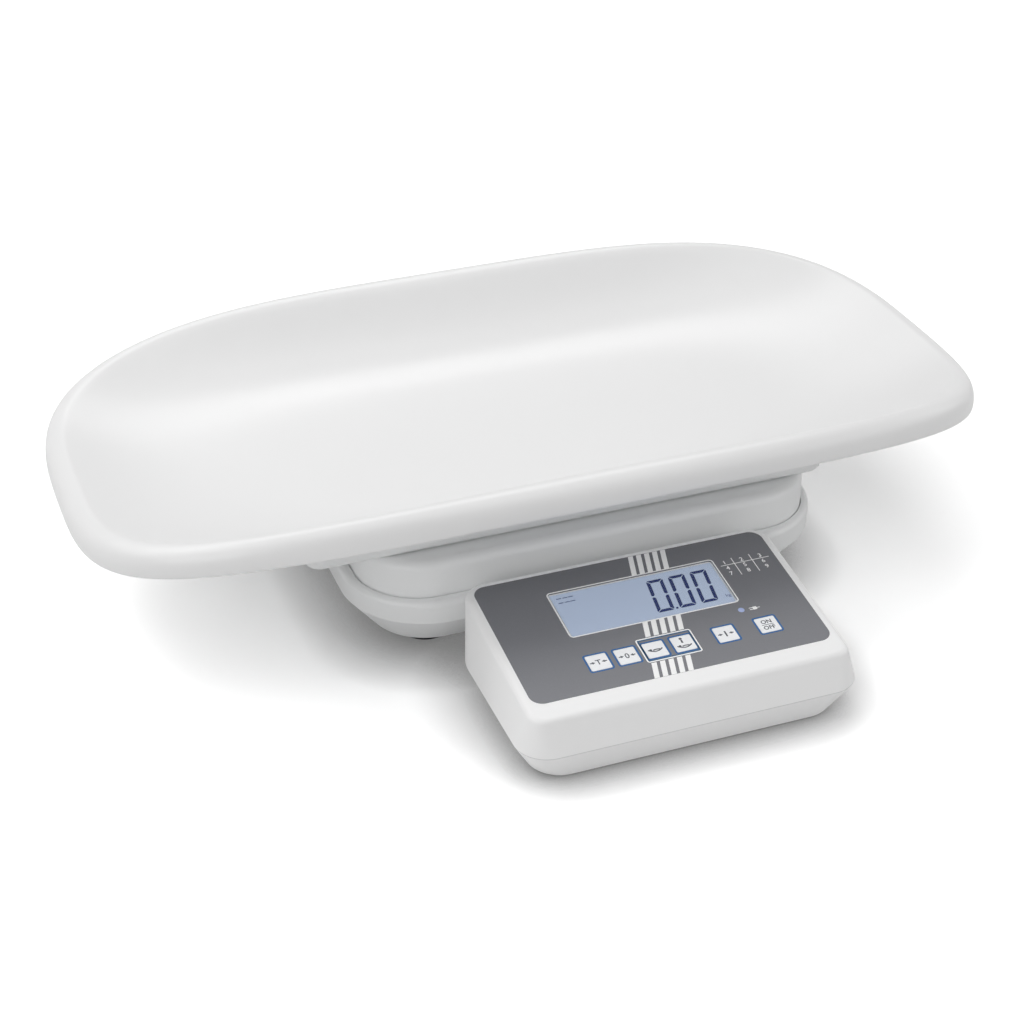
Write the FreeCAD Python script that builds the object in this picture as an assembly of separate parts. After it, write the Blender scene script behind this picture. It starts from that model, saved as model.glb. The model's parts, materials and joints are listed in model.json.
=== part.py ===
import FreeCAD, Part
import math
import os

from FreeCAD import Placement, Rotation, Vector

# Digital baby weighing scale: a wide trough-shaped tray on a load-cell platform, with a separate
# wedge-shaped display terminal in front of it. Millimetres, +Z up, X along the tray.
# Origin: on the floor, at the middle of the plan of the whole set.
os.makedirs("parts", exist_ok=True)

# ---------------------------------------------------------------- thread-forming screws
screw_radius = 1.5
screw_head_radius = 3.0
screw_head_height = 2.0
boss_radius = 4.5
small_screw_radius = 1.2
small_screw_head_radius = 2.4
small_screw_head_height = 1.6
small_screw_bite = 4.0
small_boss_radius = 3.5

# ---------------------------------------------------------------- weighing tray
tray_length = 600.0
tray_width = 313.0
tray_squareness = 3.5        # exponent of the rim's plan curve, 2 is an ellipse
tray_wall = 3.0
tray_floor_length = 380.0    # flat middle of the tray
tray_floor_width = 146.0
tray_floor_squareness = 2.6
end_wall_height = 24.0       # floor to crest at the two ends
long_wall_rise = 24.5        # how much higher the crest of the long walls stands
rise_flatness = 3.8          # how long the raised walls stay up before they fade
end_wall_curve = 2.0         # power of the end walls' sweep, 1 is straight
long_wall_curve = 3.0
rim_roll_radius = 11.0
rim_lip_height = 18.5
tray_stations = 16           # sections of the skin in each quarter
tray_side_shift = 15.0       # the tray sits this far to the left of the platform's middle
tray_back_shift = 3.5        # and this far behind it

# ---------------------------------------------------------------- bracket under the tray
bracket_length = 343.0
bracket_width = 198.0
bracket_height = 8.5
bracket_skin = 3.0
bracket_corner_radius = 10.0
bracket_edge_radius = 5.0
bracket_rib_pitch = 56.0
bracket_rib_thickness = 2.5
peg_radius = 4.0
peg_reach = 2.5              # below the cover's top wall
peg_spacing = 120.0
pad_radius = 9.0
pad_pocket_depth = 2.0
bracket_gap = 0.5            # the pads hold the bracket this high above the cover
bracket_screw_inset_x = 31.5
bracket_screw_inset_y = 44.0

# ---------------------------------------------------------------- platform and base
base_length = 316.0
base_width = 240.0
base_corner_radius = 55.0
housing_height = 38.0
housing_wall = 3.0
housing_taper_height = 23.0
housing_taper_inset = 18.0
housing_edge_radius = 4.0
frame_boss_height = 5.0
frame_boss_radius = 7.0
frame_end_margin = 12.0      # inside the housing's floor
frame_side_margin = 6.0
frame_corner_radius = 20.0
frame_thickness = 4.0
frame_window_radius = 22.0
frame_screw_inset_x = 50.0
frame_screw_inset_y = 13.0
cell_mount_height = 5.0
cell_length = 130.0
cell_width = 30.0
cell_height = 22.0
cell_end_length = 26.0       # the clamped length at each end of the load cell
cell_hole_radius = 7.5
cell_hole_spacing = 28.0
cell_bolt_pitch = 15.0
cell_bolt_radius = 3.0
cell_bolt_bite = 10.0
cell_bolt_head_radius = 5.0
cell_bolt_head_height = 4.5
carrier_mount_height = 4.0
carrier_end_margin = 22.5    # inside the cover
carrier_side_margin = 19.5
carrier_thickness = 3.0
carrier_flange_height = 10.0
carrier_corner_radius = 12.0
buffer_height = 5.0
buffer_radius = 8.0
buffer_inset = 25.0          # from the carrier's edges
cover_inset = 7.5            # cover's wall inside the housing's outer wall
cover_corner_radius = 42.0
cover_wall = 3.0
cover_rise = 24.0            # cover's top above the housing's rim
cover_nest_depth = 6.0       # cover's skirt below the housing's rim
cover_edge_radius = 6.0
platform_travel = 0.5
stop_margin = 0.1            # the stops catch the carrier this far beyond its travel
stop_inset = 40.0            # from the carrier's edges
stop_radius = 3.0
stop_head_radius = 5.5
stop_head_height = 4.0
grommet_hole_radius = 2.6
grommet_radius = 6.0
grommet_lip_radius = 8.0
grommet_lip_height = 1.5
grommet_x = 60.0
grommet_inset = 36.0         # behind the base's front

# ---------------------------------------------------------------- levelling feet
foot_inset = 18.0            # from the frame's edges
foot_pad_radius = 17.0
foot_pad_height = 7.0
foot_pad_edge = 1.5
foot_stud_radius = 4.0
foot_stud_spare = 2.0        # thread above the insert
foot_stud_sink = 4.0         # how deep the stud is moulded into the pad
foot_collar_radius = 8.0
foot_collar_height = 1.7
foot_travel = 8.0            # the inserts stand as tall, so a foot screwed out still has its thread
insert_radius = 7.0
insert_flange_radius = 10.0
insert_flange_height = 2.0

# ---------------------------------------------------------------- display terminal
terminal_width = 200.0       # of its sloping top
terminal_depth = 132.0
terminal_gap = 3.0           # between the terminal's back and the base
terminal_foot_height = 2.0
terminal_foot_radius = 6.0
terminal_foot_inset = 34.0
terminal_part_height = 22.0  # parting line between the two shells
terminal_front_height = 44.0
terminal_back_height = 59.0
terminal_front_lean = 8.0    # how far the top edge stands behind the parting line
terminal_foot_taper = 8.0    # how far front and back run in towards the bottom
terminal_side_taper = 11.0
terminal_side_lean = 7.5     # how far the sides stand out at the parting line
terminal_low_front_radius = 20.0   # plan corners at the parting line and below
terminal_low_back_radius = 36.0
terminal_top_front_radius = 8.0    # plan corners of the sloping top
terminal_top_back_radius = 12.0
terminal_edge_radius = 4.0
terminal_wall = 2.5
panel_wall = 3.0
terminal_boss_inset = 24.0
terminal_well_depth = 10.0   # the screws' heads sit this deep in the underside
terminal_screw_bite = 10.0

# ---------------------------------------------------------------- control panel
overlay_side_margin = 5.0
overlay_back_margin = 5.5
overlay_corner_radius = 8.0
overlay_thickness = 0.9
overlay_recess = 1.0
overlay_front_margin = 13.4
window_length = 108.0
window_width = 40.0
window_front = 61.2          # from the panel's front edge
window_shift = 1.0           # the window's middle lies this far right of the panel's middle
window_ledge = 1.0
window_corner_radius = 2.0
lcd_flange = 3.0
lcd_flange_thickness = 2.0
board_standoff = 6.0
board_side_gap = 2.5         # beside the corner columns
board_width = 98.0
board_thickness = 1.6
board_corner_radius = 3.0
board_boss_inset = 6.0
key_size = 12.8
key_corner_radius = 0.8
key_thickness = 1.2
key_stem_radius = 2.0
key_travel = 0.4
key_row = 36.3               # from the panel's front edge
key_first = -46.0
key_pitch = 17.9
key_wide_pitch = 27.4
switch_size = 6.0
switch_height = 3.6
switch_plunger_radius = 1.7
switch_plunger_height = 0.9
led_x = 53.0
led_row = 53.0
led_radius = 1.25
led_body_size = 3.0
led_body_height = 2.0
chip_size = 12.0
chip_height = 1.8
chip_row = 48.0              # from the panel's front edge
chip_spacing = 48.0
chip_count = 3

# ---------------------------------------------------------------- power and signal
cell_aa_radius = 7.1
cell_aa_length = 49.5
cell_aa_button_radius = 2.6
cell_aa_button_height = 1.0
battery_rows = 3
battery_columns = 2
battery_row_pitch = 15.0
battery_middle = 66.0        # from the terminal's front
battery_wall = 1.6
contact_thickness = 0.6
lid_thickness = 3.0
lid_margin_x = 8.0           # the lid's overlap beyond the cell bay, with its screws
lid_margin_y = 3.0
socket_height = 36.0
jack_x = 62.0
jack_barrel_radius = 4.6
jack_body_length = 12.0
jack_bore_radius = 2.85
jack_bore_depth = 9.5
jack_pin_radius = 1.0
signal_x = -58.0
signal_barrel_radius = 7.4
signal_body_length = 14.0
signal_insert_depth = 3.0
signal_pin_radius = 0.5
signal_pin_ring = 3.6
signal_pins = 6
signal_shell = 1.2           # wall of the socket's barrel
socket_flange_margin = 2.0   # the sockets' flanges round their barrels, sunk flush in the back wall
socket_flange_height = 1.0
nut_height = 2.2
nut_wall = 2.4
stand_screw_spacing = 80.0
stand_screw_radius = 1.6
stand_screw_depth = 8.0
stand_screw_row = 30.0       # from the terminal's front

# ---------------------------------------------------------------- named clearances
running_gap = 0.06           # threaded and sliding shafts, radial
fit_gap = 0.05               # pressed and seated round pieces of one body, radial
free_gap = 0.3               # moving bodies beside each other
key_gap = 0.2
seam_gap = 0.6               # round the moving cover

# ---------------------------------------------------------------- derived heights
base_clearance_height = foot_pad_height + foot_collar_height + free_gap
housing_floor = base_clearance_height + housing_wall
housing_rim = base_clearance_height + housing_height
frame_bottom = housing_floor + frame_boss_height
frame_top = frame_bottom + frame_thickness
cell_bottom = frame_top + cell_mount_height
cell_top = cell_bottom + cell_height
carrier_bottom = cell_top + carrier_mount_height
carrier_top = carrier_bottom + carrier_thickness
cover_top = housing_rim + cover_rise
cover_under = cover_top - cover_wall
bracket_bottom = cover_top + bracket_gap
tray_under = bracket_bottom + bracket_height
tray_floor = tray_under + tray_wall
end_crest = tray_floor + end_wall_height
bracket_screw_end = tray_under + tray_wall / 3
stop_gap = platform_travel + stop_margin
insert_top = frame_top + foot_travel
foot_stud_top = insert_top + foot_stud_spare

# ---------------------------------------------------------------- derived lengths
frame_length = base_length - 2 * (housing_wall + housing_taper_inset + frame_end_margin)
frame_width = base_width - 2 * (housing_wall + housing_taper_inset + frame_side_margin)
foot_spacing_x = frame_length - 2 * foot_inset
foot_spacing_y = frame_width - 2 * foot_inset
carrier_length = base_length - 2 * (cover_inset + cover_wall + carrier_end_margin)
carrier_width = base_width - 2 * (cover_inset + cover_wall + carrier_side_margin)
buffer_spacing_x = carrier_length - 2 * buffer_inset
buffer_spacing_y = carrier_width - 2 * buffer_inset
panel_rise = terminal_back_height - terminal_front_height
panel_run = terminal_depth - terminal_front_lean
overlay_length = terminal_width - 2 * overlay_side_margin
overlay_width = math.hypot(panel_rise, panel_run) - overlay_front_margin - overlay_back_margin
board_length = terminal_width - 2 * (terminal_boss_inset + boss_radius + board_side_gap)

# ---------------------------------------------------------------- derived places
overall_depth = terminal_depth + terminal_gap + base_width / 2 + tray_back_shift + tray_width / 2
front_y = -overall_depth / 2
base_x = tray_side_shift
base_y = front_y + terminal_depth + terminal_gap + base_width / 2
grommet_y = grommet_inset - base_width / 2
panel_tilt = math.degrees(math.atan2(panel_rise, panel_run))
overlay_middle = overlay_front_margin + overlay_width / 2
window_middle = window_front + window_width / 2
board_face = -(panel_wall + board_standoff)
plunger_top = board_face + switch_height + switch_plunger_height
cell_pitch = cell_aa_length + cell_aa_button_height
bay_half_length = (battery_columns * cell_pitch + (battery_columns + 1) * contact_thickness) / 2
bay_half_width = battery_rows * battery_row_pitch / 2
battery_axis = terminal_foot_height + lid_thickness + free_gap + cell_aa_radius
bay_roof = battery_axis + cell_aa_radius + fit_gap

AXIS_UP = Vector(0, 0, 1)


# ================================================================ helpers
def box(x0, x1, y0, y1, z0, z1):
    """Block between two corners."""
    return Part.makeBox(x1 - x0, y1 - y0, z1 - z0, Vector(x0, y0, z0))


def disc(radius, x, y, z0, z1):
    """Upright cylinder from z0 to z1."""
    return Part.makeCylinder(radius, z1 - z0, Vector(x, y, z0), AXIS_UP)


def lying_disc(radius, x, z, y0, y1):
    """Cylinder along Y from y0 to y1."""
    return Part.makeCylinder(radius, y1 - y0, Vector(x, y0, z), Vector(0, 1, 0))


def hexagon(across_corners_radius, x, y, z0, z1):
    """Upright hexagonal prism."""
    turns = [math.radians(60 * k) for k in range(7)]
    points = [Vector(x + across_corners_radius * math.cos(t),
                     y + across_corners_radius * math.sin(t), z0) for t in turns]
    return Part.Face(Part.makePolygon(points)).extrude(Vector(0, 0, z1 - z0))


def rounded_wire(half_x, y0, y1, front, back, height):
    """Closed rectangle, centred on x = 0, with its front and back corners rounded to those radii;
    height(y) gives z, so the wire may be tilted."""
    def at(x, y):
        return Vector(x, y, height(y))

    j, k = [radius * (1 - math.sqrt(0.5)) for radius in (front, back)]
    edges = [
        Part.makeLine(at(front - half_x, y0), at(half_x - front, y0)),
        Part.Arc(at(half_x - front, y0), at(half_x - j, y0 + j), at(half_x, y0 + front)).toShape(),
        Part.makeLine(at(half_x, y0 + front), at(half_x, y1 - back)),
        Part.Arc(at(half_x, y1 - back), at(half_x - k, y1 - k), at(half_x - back, y1)).toShape(),
        Part.makeLine(at(half_x - back, y1), at(back - half_x, y1)),
        Part.Arc(at(back - half_x, y1), at(k - half_x, y1 - k), at(-half_x, y1 - back)).toShape(),
        Part.makeLine(at(-half_x, y1 - back), at(-half_x, y0 + front)),
        Part.Arc(at(-half_x, y0 + front), at(j - half_x, y0 + j), at(front - half_x, y0)).toShape(),
    ]
    return Part.Wire(edges)


def level(z):
    """Height function of a level plane."""
    return lambda y: z


def slab(length, width, radius, z0, z1, x=0.0, y=0.0):
    """Rounded plate centred on x, y."""
    face = Part.Face(rounded_wire(length / 2, -width / 2, width / 2, radius, radius, level(0)))
    plate = face.extrude(Vector(0, 0, z1 - z0))
    plate.translate(Vector(x, y, z0))
    return plate


def revolve(points, x=0.0, y=0.0):
    """Solid of revolution about the vertical through x, y; points are (radius, z)."""
    closed = [Vector(r, 0, z) for r, z in points + points[:1]]
    solid = Part.Face(Part.makePolygon(closed)).revolve(Vector(0, 0, 0), AXIS_UP, 360)
    solid.translate(Vector(x, y, 0))
    return solid


def corners(spacing_x, spacing_y, x=0.0, y=0.0):
    """The four corners of a rectangle of that spacing."""
    return [(x + sx * spacing_x / 2, y + sy * spacing_y / 2) for sy in (-1, 1) for sx in (-1, 1)]


def joined(shapes):
    """One solid from touching or overlapping shapes."""
    return shapes[0].fuse(shapes[1:]).removeSplitter()


def group(shapes):
    """Identical separate solids kept together in one node."""
    return Part.makeCompound(shapes)


def moved(shape, x, y, z=0.0):
    """A copy of the shape, shifted."""
    copy = shape.copy()
    copy.translate(Vector(x, y, z))
    return copy


def in_base(shape):
    """From the base's own frame, centred on the platform, to the part's frame."""
    return moved(shape, base_x, base_y)


def in_tray(shape):
    """From the tray bracket's frame, centred on the bracket, to the part's frame."""
    return moved(shape, 0, base_y)


def in_terminal(shape):
    """From the terminal's own frame, middle of its front at floor level, to the part's frame."""
    return moved(shape, base_x, front_y)


def on_panel(shape):
    """From the panel's frame (y up the slope, z out of the panel) to the terminal's frame."""
    copy = shape.copy()
    place = Placement(Vector(0, terminal_front_lean, terminal_front_height),
                      Rotation(Vector(1, 0, 0), panel_tilt))
    copy.Placement = place.multiply(copy.Placement)
    return copy


# ================================================================ tray
def superellipse(half_x, half_y, power, w):
    """Point on the first quadrant of |x/a|^n + |y/b|^n = 1; w runs evenly along it from 0 to 1."""
    even = power / 2
    turn = math.pi / 2 * w ** even / (w ** even + (1 - w) ** even)
    x = half_x * max(math.cos(turn), 0.0) ** (2 / power)
    y = half_y * math.sin(turn) ** (2 / power)
    return x, y


class TraySection:
    """Cross-section of the tray in the upright plane through one station w of the rim."""

    def __init__(self, w):
        rim_x, rim_y = superellipse(tray_length / 2, tray_width / 2, tray_squareness, w)
        self.foot = superellipse(tray_floor_length / 2, tray_floor_width / 2, tray_floor_squareness, w)
        self.reach = math.hypot(rim_x - self.foot[0], rim_y - self.foot[1])
        self.out = ((rim_x - self.foot[0]) / self.reach, (rim_y - self.foot[1]) / self.reach)
        side = 1 - (2 * rim_x / tray_length) ** rise_flatness
        self.crest = end_crest + long_wall_rise * side
        self.power = end_wall_curve + (long_wall_curve - end_wall_curve) * side
        slope = self.power * (self.crest - tray_floor) / self.reach
        self.lean = math.atan(slope)
        self.run = self.reach - rim_roll_radius * (1 + math.sin(self.lean))
        self.climb = self.crest - rim_roll_radius * (1 - math.cos(self.lean)) - tray_floor

    def wall(self, u, offset):
        """Wall from the floor (u = 0) to the rim's roll (u = 1); offset measured into the wall."""
        slope = math.atan(self.power * self.climb / self.run * u ** (self.power - 1))
        distance = self.run * u + offset * math.sin(slope)
        return distance, tray_floor + self.climb * u ** self.power - offset * math.cos(slope)

    def roll(self, turn, offset):
        """Rim's roll, from -lean at the wall through 0 on the crest to 90 degrees at the lip."""
        radius = rim_roll_radius - offset
        distance = self.reach - rim_roll_radius + radius * math.sin(turn)
        return distance, self.crest - rim_roll_radius + radius * math.cos(turn)

    def lip_end(self, turn):
        """Half-round lower edge of the lip, from the outer face (0) to the inner face (180 degrees)."""
        radius = tray_wall / 2
        distance = self.reach - radius + radius * math.cos(turn)
        return distance, self.crest - rim_lip_height + radius - radius * math.sin(turn)

    def profile(self):
        """The whole skin, from the floor's top over the rim and back to the floor's underside."""
        steps = (0.0, 0.2, 0.4, 0.6, 0.8, 1.0)
        points = [self.wall(u, 0.0) for u in steps]
        points += [self.roll(self.lean * (k / 2 - 1), 0.0) for k in (1, 2)]
        points += [self.roll(math.pi / 2 * k / 3, 0.0) for k in (1, 2, 3)]
        points += [self.lip_end(math.pi * k / 4) for k in range(5)]
        points += [self.roll(math.pi / 2 * k / 3, tray_wall) for k in (3, 2, 1, 0)]
        points += [self.roll(-self.lean / 2, tray_wall)]
        points += [self.wall(u, tray_wall) for u in reversed(steps)]
        return points


def clamped_knots(count):
    """Knots and multiplicities of a clamped cubic with that many poles."""
    knots = [float(k) for k in range(count - 2)]
    return knots, [4] + [1] * (count - 4) + [4]


def tray_skin_quarter(stations):
    """Smooth skin of one quarter of the tray: a cubic surface whose poles lie on its sections."""
    poles = []
    for k in range(stations + 1):
        section = TraySection(k / stations)
        poles.append([Vector(section.foot[0] + section.out[0] * d, section.foot[1] + section.out[1] * d, z)
                      for d, z in section.profile()])
    along_knots, along_mults = clamped_knots(len(poles))
    across_knots, across_mults = clamped_knots(len(poles[0]))
    surface = Part.BSplineSurface()
    surface.buildFromPolesMultsKnots(poles, along_mults, across_mults, along_knots, across_knots,
                                     False, False, 3, 3)
    return surface.toShape()


def tray_shell():
    """Closed solid of the tray: four mirrored quarters of skin and the two faces of its flat floor."""
    quarter = tray_skin_quarter(tray_stations)
    half = [quarter, quarter.mirror(Vector(0, 0, 0), Vector(1, 0, 0))]
    skins = half + [face.mirror(Vector(0, 0, 0), Vector(0, 1, 0)) for face in half]
    floors = []
    for z in (tray_floor, tray_under):
        rim = [edge for skin in skins for edge in skin.Edges
               if abs(edge.BoundBox.ZMax - z) < 0.001 and edge.BoundBox.ZLength < 0.001]
        floors.append(Part.Face(Part.Wire(Part.__sortEdges__(rim))))
    shell = Part.makeShell([skin.Faces[0] for skin in skins] + floors)
    shell.sewShape()
    solid = Part.Solid(shell)
    if solid.Volume < 0:
        solid.reverse()
    return solid


def tray():
    """Moulded tray, a little behind its bracket's middle, with its screw bosses underneath."""
    bosses = [disc(boss_radius, x, y, bracket_bottom + bracket_skin, tray_under + tray_wall / 2)
              for x, y in bracket_screw_places()]
    pilots = [disc(screw_radius + fit_gap, x, y, bracket_bottom + bracket_skin,
                   bracket_screw_end + fit_gap) for x, y in bracket_screw_places()]
    return moved(tray_shell(), 0, tray_back_shift).fuse(bosses).cut(pilots)


# ================================================================ bracket under the tray
def bracket_screw_places():
    """Six screws join the bracket to the tray."""
    reach = bracket_width / 2 - bracket_screw_inset_y
    middle = [(0.0, -reach), (0.0, reach)]
    return corners(bracket_length - 2 * bracket_screw_inset_x, 2 * reach) + middle


def peg_places():
    """Two pegs drop into the platform cover; places in the bracket's frame."""
    return [(base_x - peg_spacing / 2, 0.0), (base_x + peg_spacing / 2, 0.0)]


def pad_places():
    """Four rubber pads over the cover's buffers; places in the bracket's frame."""
    return corners(buffer_spacing_x, buffer_spacing_y, base_x, 0.0)


def tray_bracket():
    """Open-topped ribbed plate that carries the tray, with two locating pegs below."""
    top = tray_under
    inside = bracket_bottom + bracket_skin
    outer = slab(bracket_length, bracket_width, bracket_corner_radius, bracket_bottom, top)
    low_edges = [e for e in outer.Edges if e.BoundBox.ZMax < bracket_bottom + 0.001]
    outer = outer.makeFillet(bracket_edge_radius, low_edges)
    inner_corner = bracket_corner_radius - bracket_skin
    hollow = slab(bracket_length - 2 * bracket_skin, bracket_width - 2 * bracket_skin, inner_corner,
                  inside, top)
    count = int(bracket_length / 2 / bracket_rib_pitch)
    half_rib = bracket_rib_thickness / 2
    reach_y = bracket_width / 2 - bracket_skin
    ribs = [box(k * bracket_rib_pitch - half_rib, k * bracket_rib_pitch + half_rib, -reach_y, reach_y,
                inside, top) for k in range(-count, count + 1)]
    room = [disc(boss_radius + fit_gap, x, y, inside, top) for x, y in bracket_screw_places()]
    pegs = [disc(peg_radius, x, y, cover_under - peg_reach, inside) for x, y in peg_places()]
    blocks = [disc(pad_radius + bracket_skin, x, y, inside, inside + pad_pocket_depth)
              for x, y in pad_places()]
    pockets = [disc(pad_radius + fit_gap, x, y, bracket_bottom, bracket_bottom + pad_pocket_depth)
               for x, y in pad_places()]
    holes = [disc(screw_radius + running_gap, x, y, bracket_bottom, top)
             for x, y in bracket_screw_places()]
    heads = [disc(screw_head_radius + fit_gap, x, y, bracket_bottom,
                  bracket_bottom + screw_head_height) for x, y in bracket_screw_places()]
    body = outer.cut(hollow).fuse(ribs + blocks).cut(room).fuse(pegs)
    return body.cut(pockets + holes + heads)


def bracket_screws():
    """Pan-head screws from below, flush in the bracket's skin."""
    screws = []
    for x, y in bracket_screw_places():
        head_top = bracket_bottom + screw_head_height
        head = disc(screw_head_radius, x, y, bracket_bottom, head_top)
        shank = disc(screw_radius, x, y, head_top, bracket_screw_end)
        screws.append(joined([head, shank]))
    return group(screws)


def bracket_pads():
    """Rubber pads that stand on the platform cover."""
    return group([disc(pad_radius, x, y, cover_top, bracket_bottom + pad_pocket_depth)
                  for x, y in pad_places()])


# ================================================================ base
def base_loop(inset, z):
    """Plan outline of the base, drawn in by inset, at height z."""
    half_y = base_width / 2 - inset
    radius = base_corner_radius - inset
    return rounded_wire(base_length / 2 - inset, -half_y, half_y, radius, radius, level(z))


def tapered_tub(inset, bottom, top):
    """Solid tub whose lower part runs in towards its floor, like a dish."""
    shoulder = base_clearance_height + housing_taper_height
    foot = Part.makeLoft([base_loop(inset + housing_taper_inset, bottom), base_loop(inset, shoulder)],
                         True, True)
    rim = Part.Face(base_loop(inset, shoulder)).extrude(Vector(0, 0, top - shoulder))
    return foot.fuse(rim)


def base_housing():
    """Tub with a ledge round its mouth, bosses for the frame and clearance holes for the feet."""
    tub = tapered_tub(0.0, base_clearance_height, housing_rim)
    tub = tub.makeFillet(housing_edge_radius,
                         [e for e in tub.Edges if e.BoundBox.ZMin > housing_rim - 0.001])
    tub = tub.cut(tapered_tub(housing_wall, housing_floor, housing_rim - housing_wall))
    mouth = Part.Face(cover_loop(-seam_gap, housing_rim - housing_wall))
    tub = tub.cut(mouth.extrude(Vector(0, 0, housing_wall)))
    bosses = [disc(frame_boss_radius, x, y, housing_floor, frame_bottom) for x, y in frame_screw_places()]
    pilots = [disc(screw_radius + fit_gap, x, y, housing_floor, frame_bottom)
              for x, y in frame_screw_places()]
    feet = [disc(foot_stud_radius + free_gap, x, y, base_clearance_height, housing_floor)
            for x, y in corners(foot_spacing_x, foot_spacing_y)]
    outlet = disc(grommet_radius + fit_gap, grommet_x, grommet_y, base_clearance_height, housing_floor)
    return tub.fuse(bosses).cut(pilots + feet + [outlet])


def frame_screw_places():
    """Four screws hold the frame down in the housing."""
    return corners(frame_length - 2 * frame_screw_inset_x, frame_width - 2 * frame_screw_inset_y)


def cell_bolt_places(end):
    """Two bolts in a row near one end of the load cell; end is -1 (fixed) or 1 (loaded)."""
    middle = end * (cell_length - cell_end_length) / 2
    return [(middle, -cell_bolt_pitch / 2), (middle, cell_bolt_pitch / 2)]


def stop_places():
    """Four overload stops under the carrier."""
    return corners(carrier_length - 2 * stop_inset, carrier_width - 2 * stop_inset)


def base_frame():
    """Stiff plate that the load cell and the feet are fixed to."""
    plate = slab(frame_length, frame_width, frame_corner_radius, frame_bottom, frame_top)
    windows = [disc(frame_window_radius, 0, sy * frame_width / 4, frame_bottom, frame_top)
               for sy in (-1, 1)]
    screws = [disc(screw_radius + running_gap, x, y, frame_bottom, frame_top)
              for x, y in frame_screw_places()]
    bolts = [disc(cell_bolt_radius + running_gap, x, y, frame_bottom, frame_top)
             for x, y in cell_bolt_places(-1)]
    inserts = [disc(insert_radius + fit_gap, x, y, frame_bottom, frame_top)
               for x, y in corners(foot_spacing_x, foot_spacing_y)]
    stops = [disc(stop_radius + fit_gap, x, y, frame_bottom, frame_top) for x, y in stop_places()]
    return plate.cut(windows + screws + bolts + inserts + stops)


def frame_screws():
    """Pan-head screws through the frame into the housing's bosses."""
    screws = []
    for x, y in frame_screw_places():
        head = disc(screw_head_radius, x, y, frame_top, frame_top + screw_head_height)
        shank = disc(screw_radius, x, y, housing_floor, frame_top)
        screws.append(joined([head, shank]))
    return group(screws)


def foot_inserts():
    """Flanged threaded bushes pressed into the frame for the feet."""
    bore = foot_stud_radius + running_gap
    profile = [(bore, frame_bottom), (insert_radius, frame_bottom), (insert_radius, frame_top),
               (insert_flange_radius, frame_top), (insert_flange_radius, frame_top + insert_flange_height),
               (insert_radius, frame_top + insert_flange_height), (insert_radius, insert_top),
               (bore, insert_top)]
    return group([revolve(profile, x, y) for x, y in corners(foot_spacing_x, foot_spacing_y)])


def overload_stops():
    """Hexagon-headed stop screws that catch the carrier before the load cell is overloaded."""
    stops = []
    head_top = carrier_bottom - stop_gap
    for x, y in stop_places():
        shank = disc(stop_radius, x, y, frame_bottom, head_top - stop_head_height)
        head = hexagon(stop_head_radius, x, y, head_top - stop_head_height, head_top)
        nut = hexagon(stop_head_radius, x, y, frame_top, frame_top + stop_head_height)
        stops.append(joined([shank, head, nut]))
    return group(stops)


def cell_mount(end, bottom, top):
    """Spacer block between the load cell's end and the plate that it is bolted to."""
    middle = end * (cell_length - cell_end_length) / 2
    half = cell_end_length / 2
    block = box(middle - half, middle + half, -cell_width / 2, cell_width / 2, bottom, top)
    return block.cut([disc(cell_bolt_radius + running_gap, x, y, bottom, top)
                      for x, y in cell_bolt_places(end)])


def load_cell():
    """Single-point bending beam: a block with the two joined cross holes that make its four flexures."""
    half_x = cell_length / 2
    block = box(-half_x, half_x, -cell_width / 2, cell_width / 2, cell_bottom, cell_top)
    middle_z = (cell_bottom + cell_top) / 2
    bores = [Part.makeCylinder(cell_hole_radius, cell_width, Vector(x, -cell_width / 2, middle_z),
                               Vector(0, 1, 0)) for x in (-cell_hole_spacing / 2, cell_hole_spacing / 2)]
    slot = box(-cell_hole_spacing / 2, cell_hole_spacing / 2, -cell_width / 2, cell_width / 2,
               middle_z - cell_hole_radius / 2, middle_z + cell_hole_radius / 2)
    reach = cell_bolt_bite + stop_gap
    lower = [disc(cell_bolt_radius + fit_gap, x, y, cell_bottom, cell_bottom + reach)
             for x, y in cell_bolt_places(-1)]
    upper = [disc(cell_bolt_radius + fit_gap, x, y, cell_top - reach, cell_top)
             for x, y in cell_bolt_places(1)]
    return block.cut(bores + [slot] + lower + upper)


def cell_bolts(end, face, way):
    """Socket-head bolts of one end; way is 1 when they point up into the cell, -1 when down."""
    bolts = []
    for x, y in cell_bolt_places(end):
        outer = face - way * cell_bolt_head_height
        tip = cell_bottom + cell_bolt_bite if way > 0 else cell_top - cell_bolt_bite
        head = disc(cell_bolt_head_radius, x, y, min(face, outer), max(face, outer))
        shank = disc(cell_bolt_radius, x, y, min(face, tip), max(face, tip))
        bolts.append(joined([head, shank]))
    return group(bolts)


def cable_grommet():
    """Rubber ring in the housing floor for the lead to the terminal."""
    lip = grommet_lip_radius
    low = base_clearance_height - grommet_lip_height
    high = housing_floor + grommet_lip_height
    profile = [(grommet_hole_radius, low), (lip, low), (lip, base_clearance_height),
               (grommet_radius, base_clearance_height), (grommet_radius, housing_floor),
               (lip, housing_floor), (lip, high), (grommet_hole_radius, high)]
    return revolve(profile, grommet_x, grommet_y)


# ================================================================ platform
def load_carrier():
    """Pressed plate with flanges turned down along its long sides."""
    plate = slab(carrier_length, carrier_width, carrier_corner_radius, carrier_bottom, carrier_top)
    half_x = carrier_length / 2 - carrier_corner_radius
    half_y = carrier_width / 2
    flanges = [box(-half_x, half_x, min(side * half_y, side * (half_y - carrier_thickness)),
                   max(side * half_y, side * (half_y - carrier_thickness)),
                   carrier_top - carrier_flange_height, carrier_bottom) for side in (-1, 1)]
    bolts = [disc(cell_bolt_radius + running_gap, x, y, carrier_bottom, carrier_top)
             for x, y in cell_bolt_places(1)]
    return plate.fuse(flanges).cut(bolts)


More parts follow.
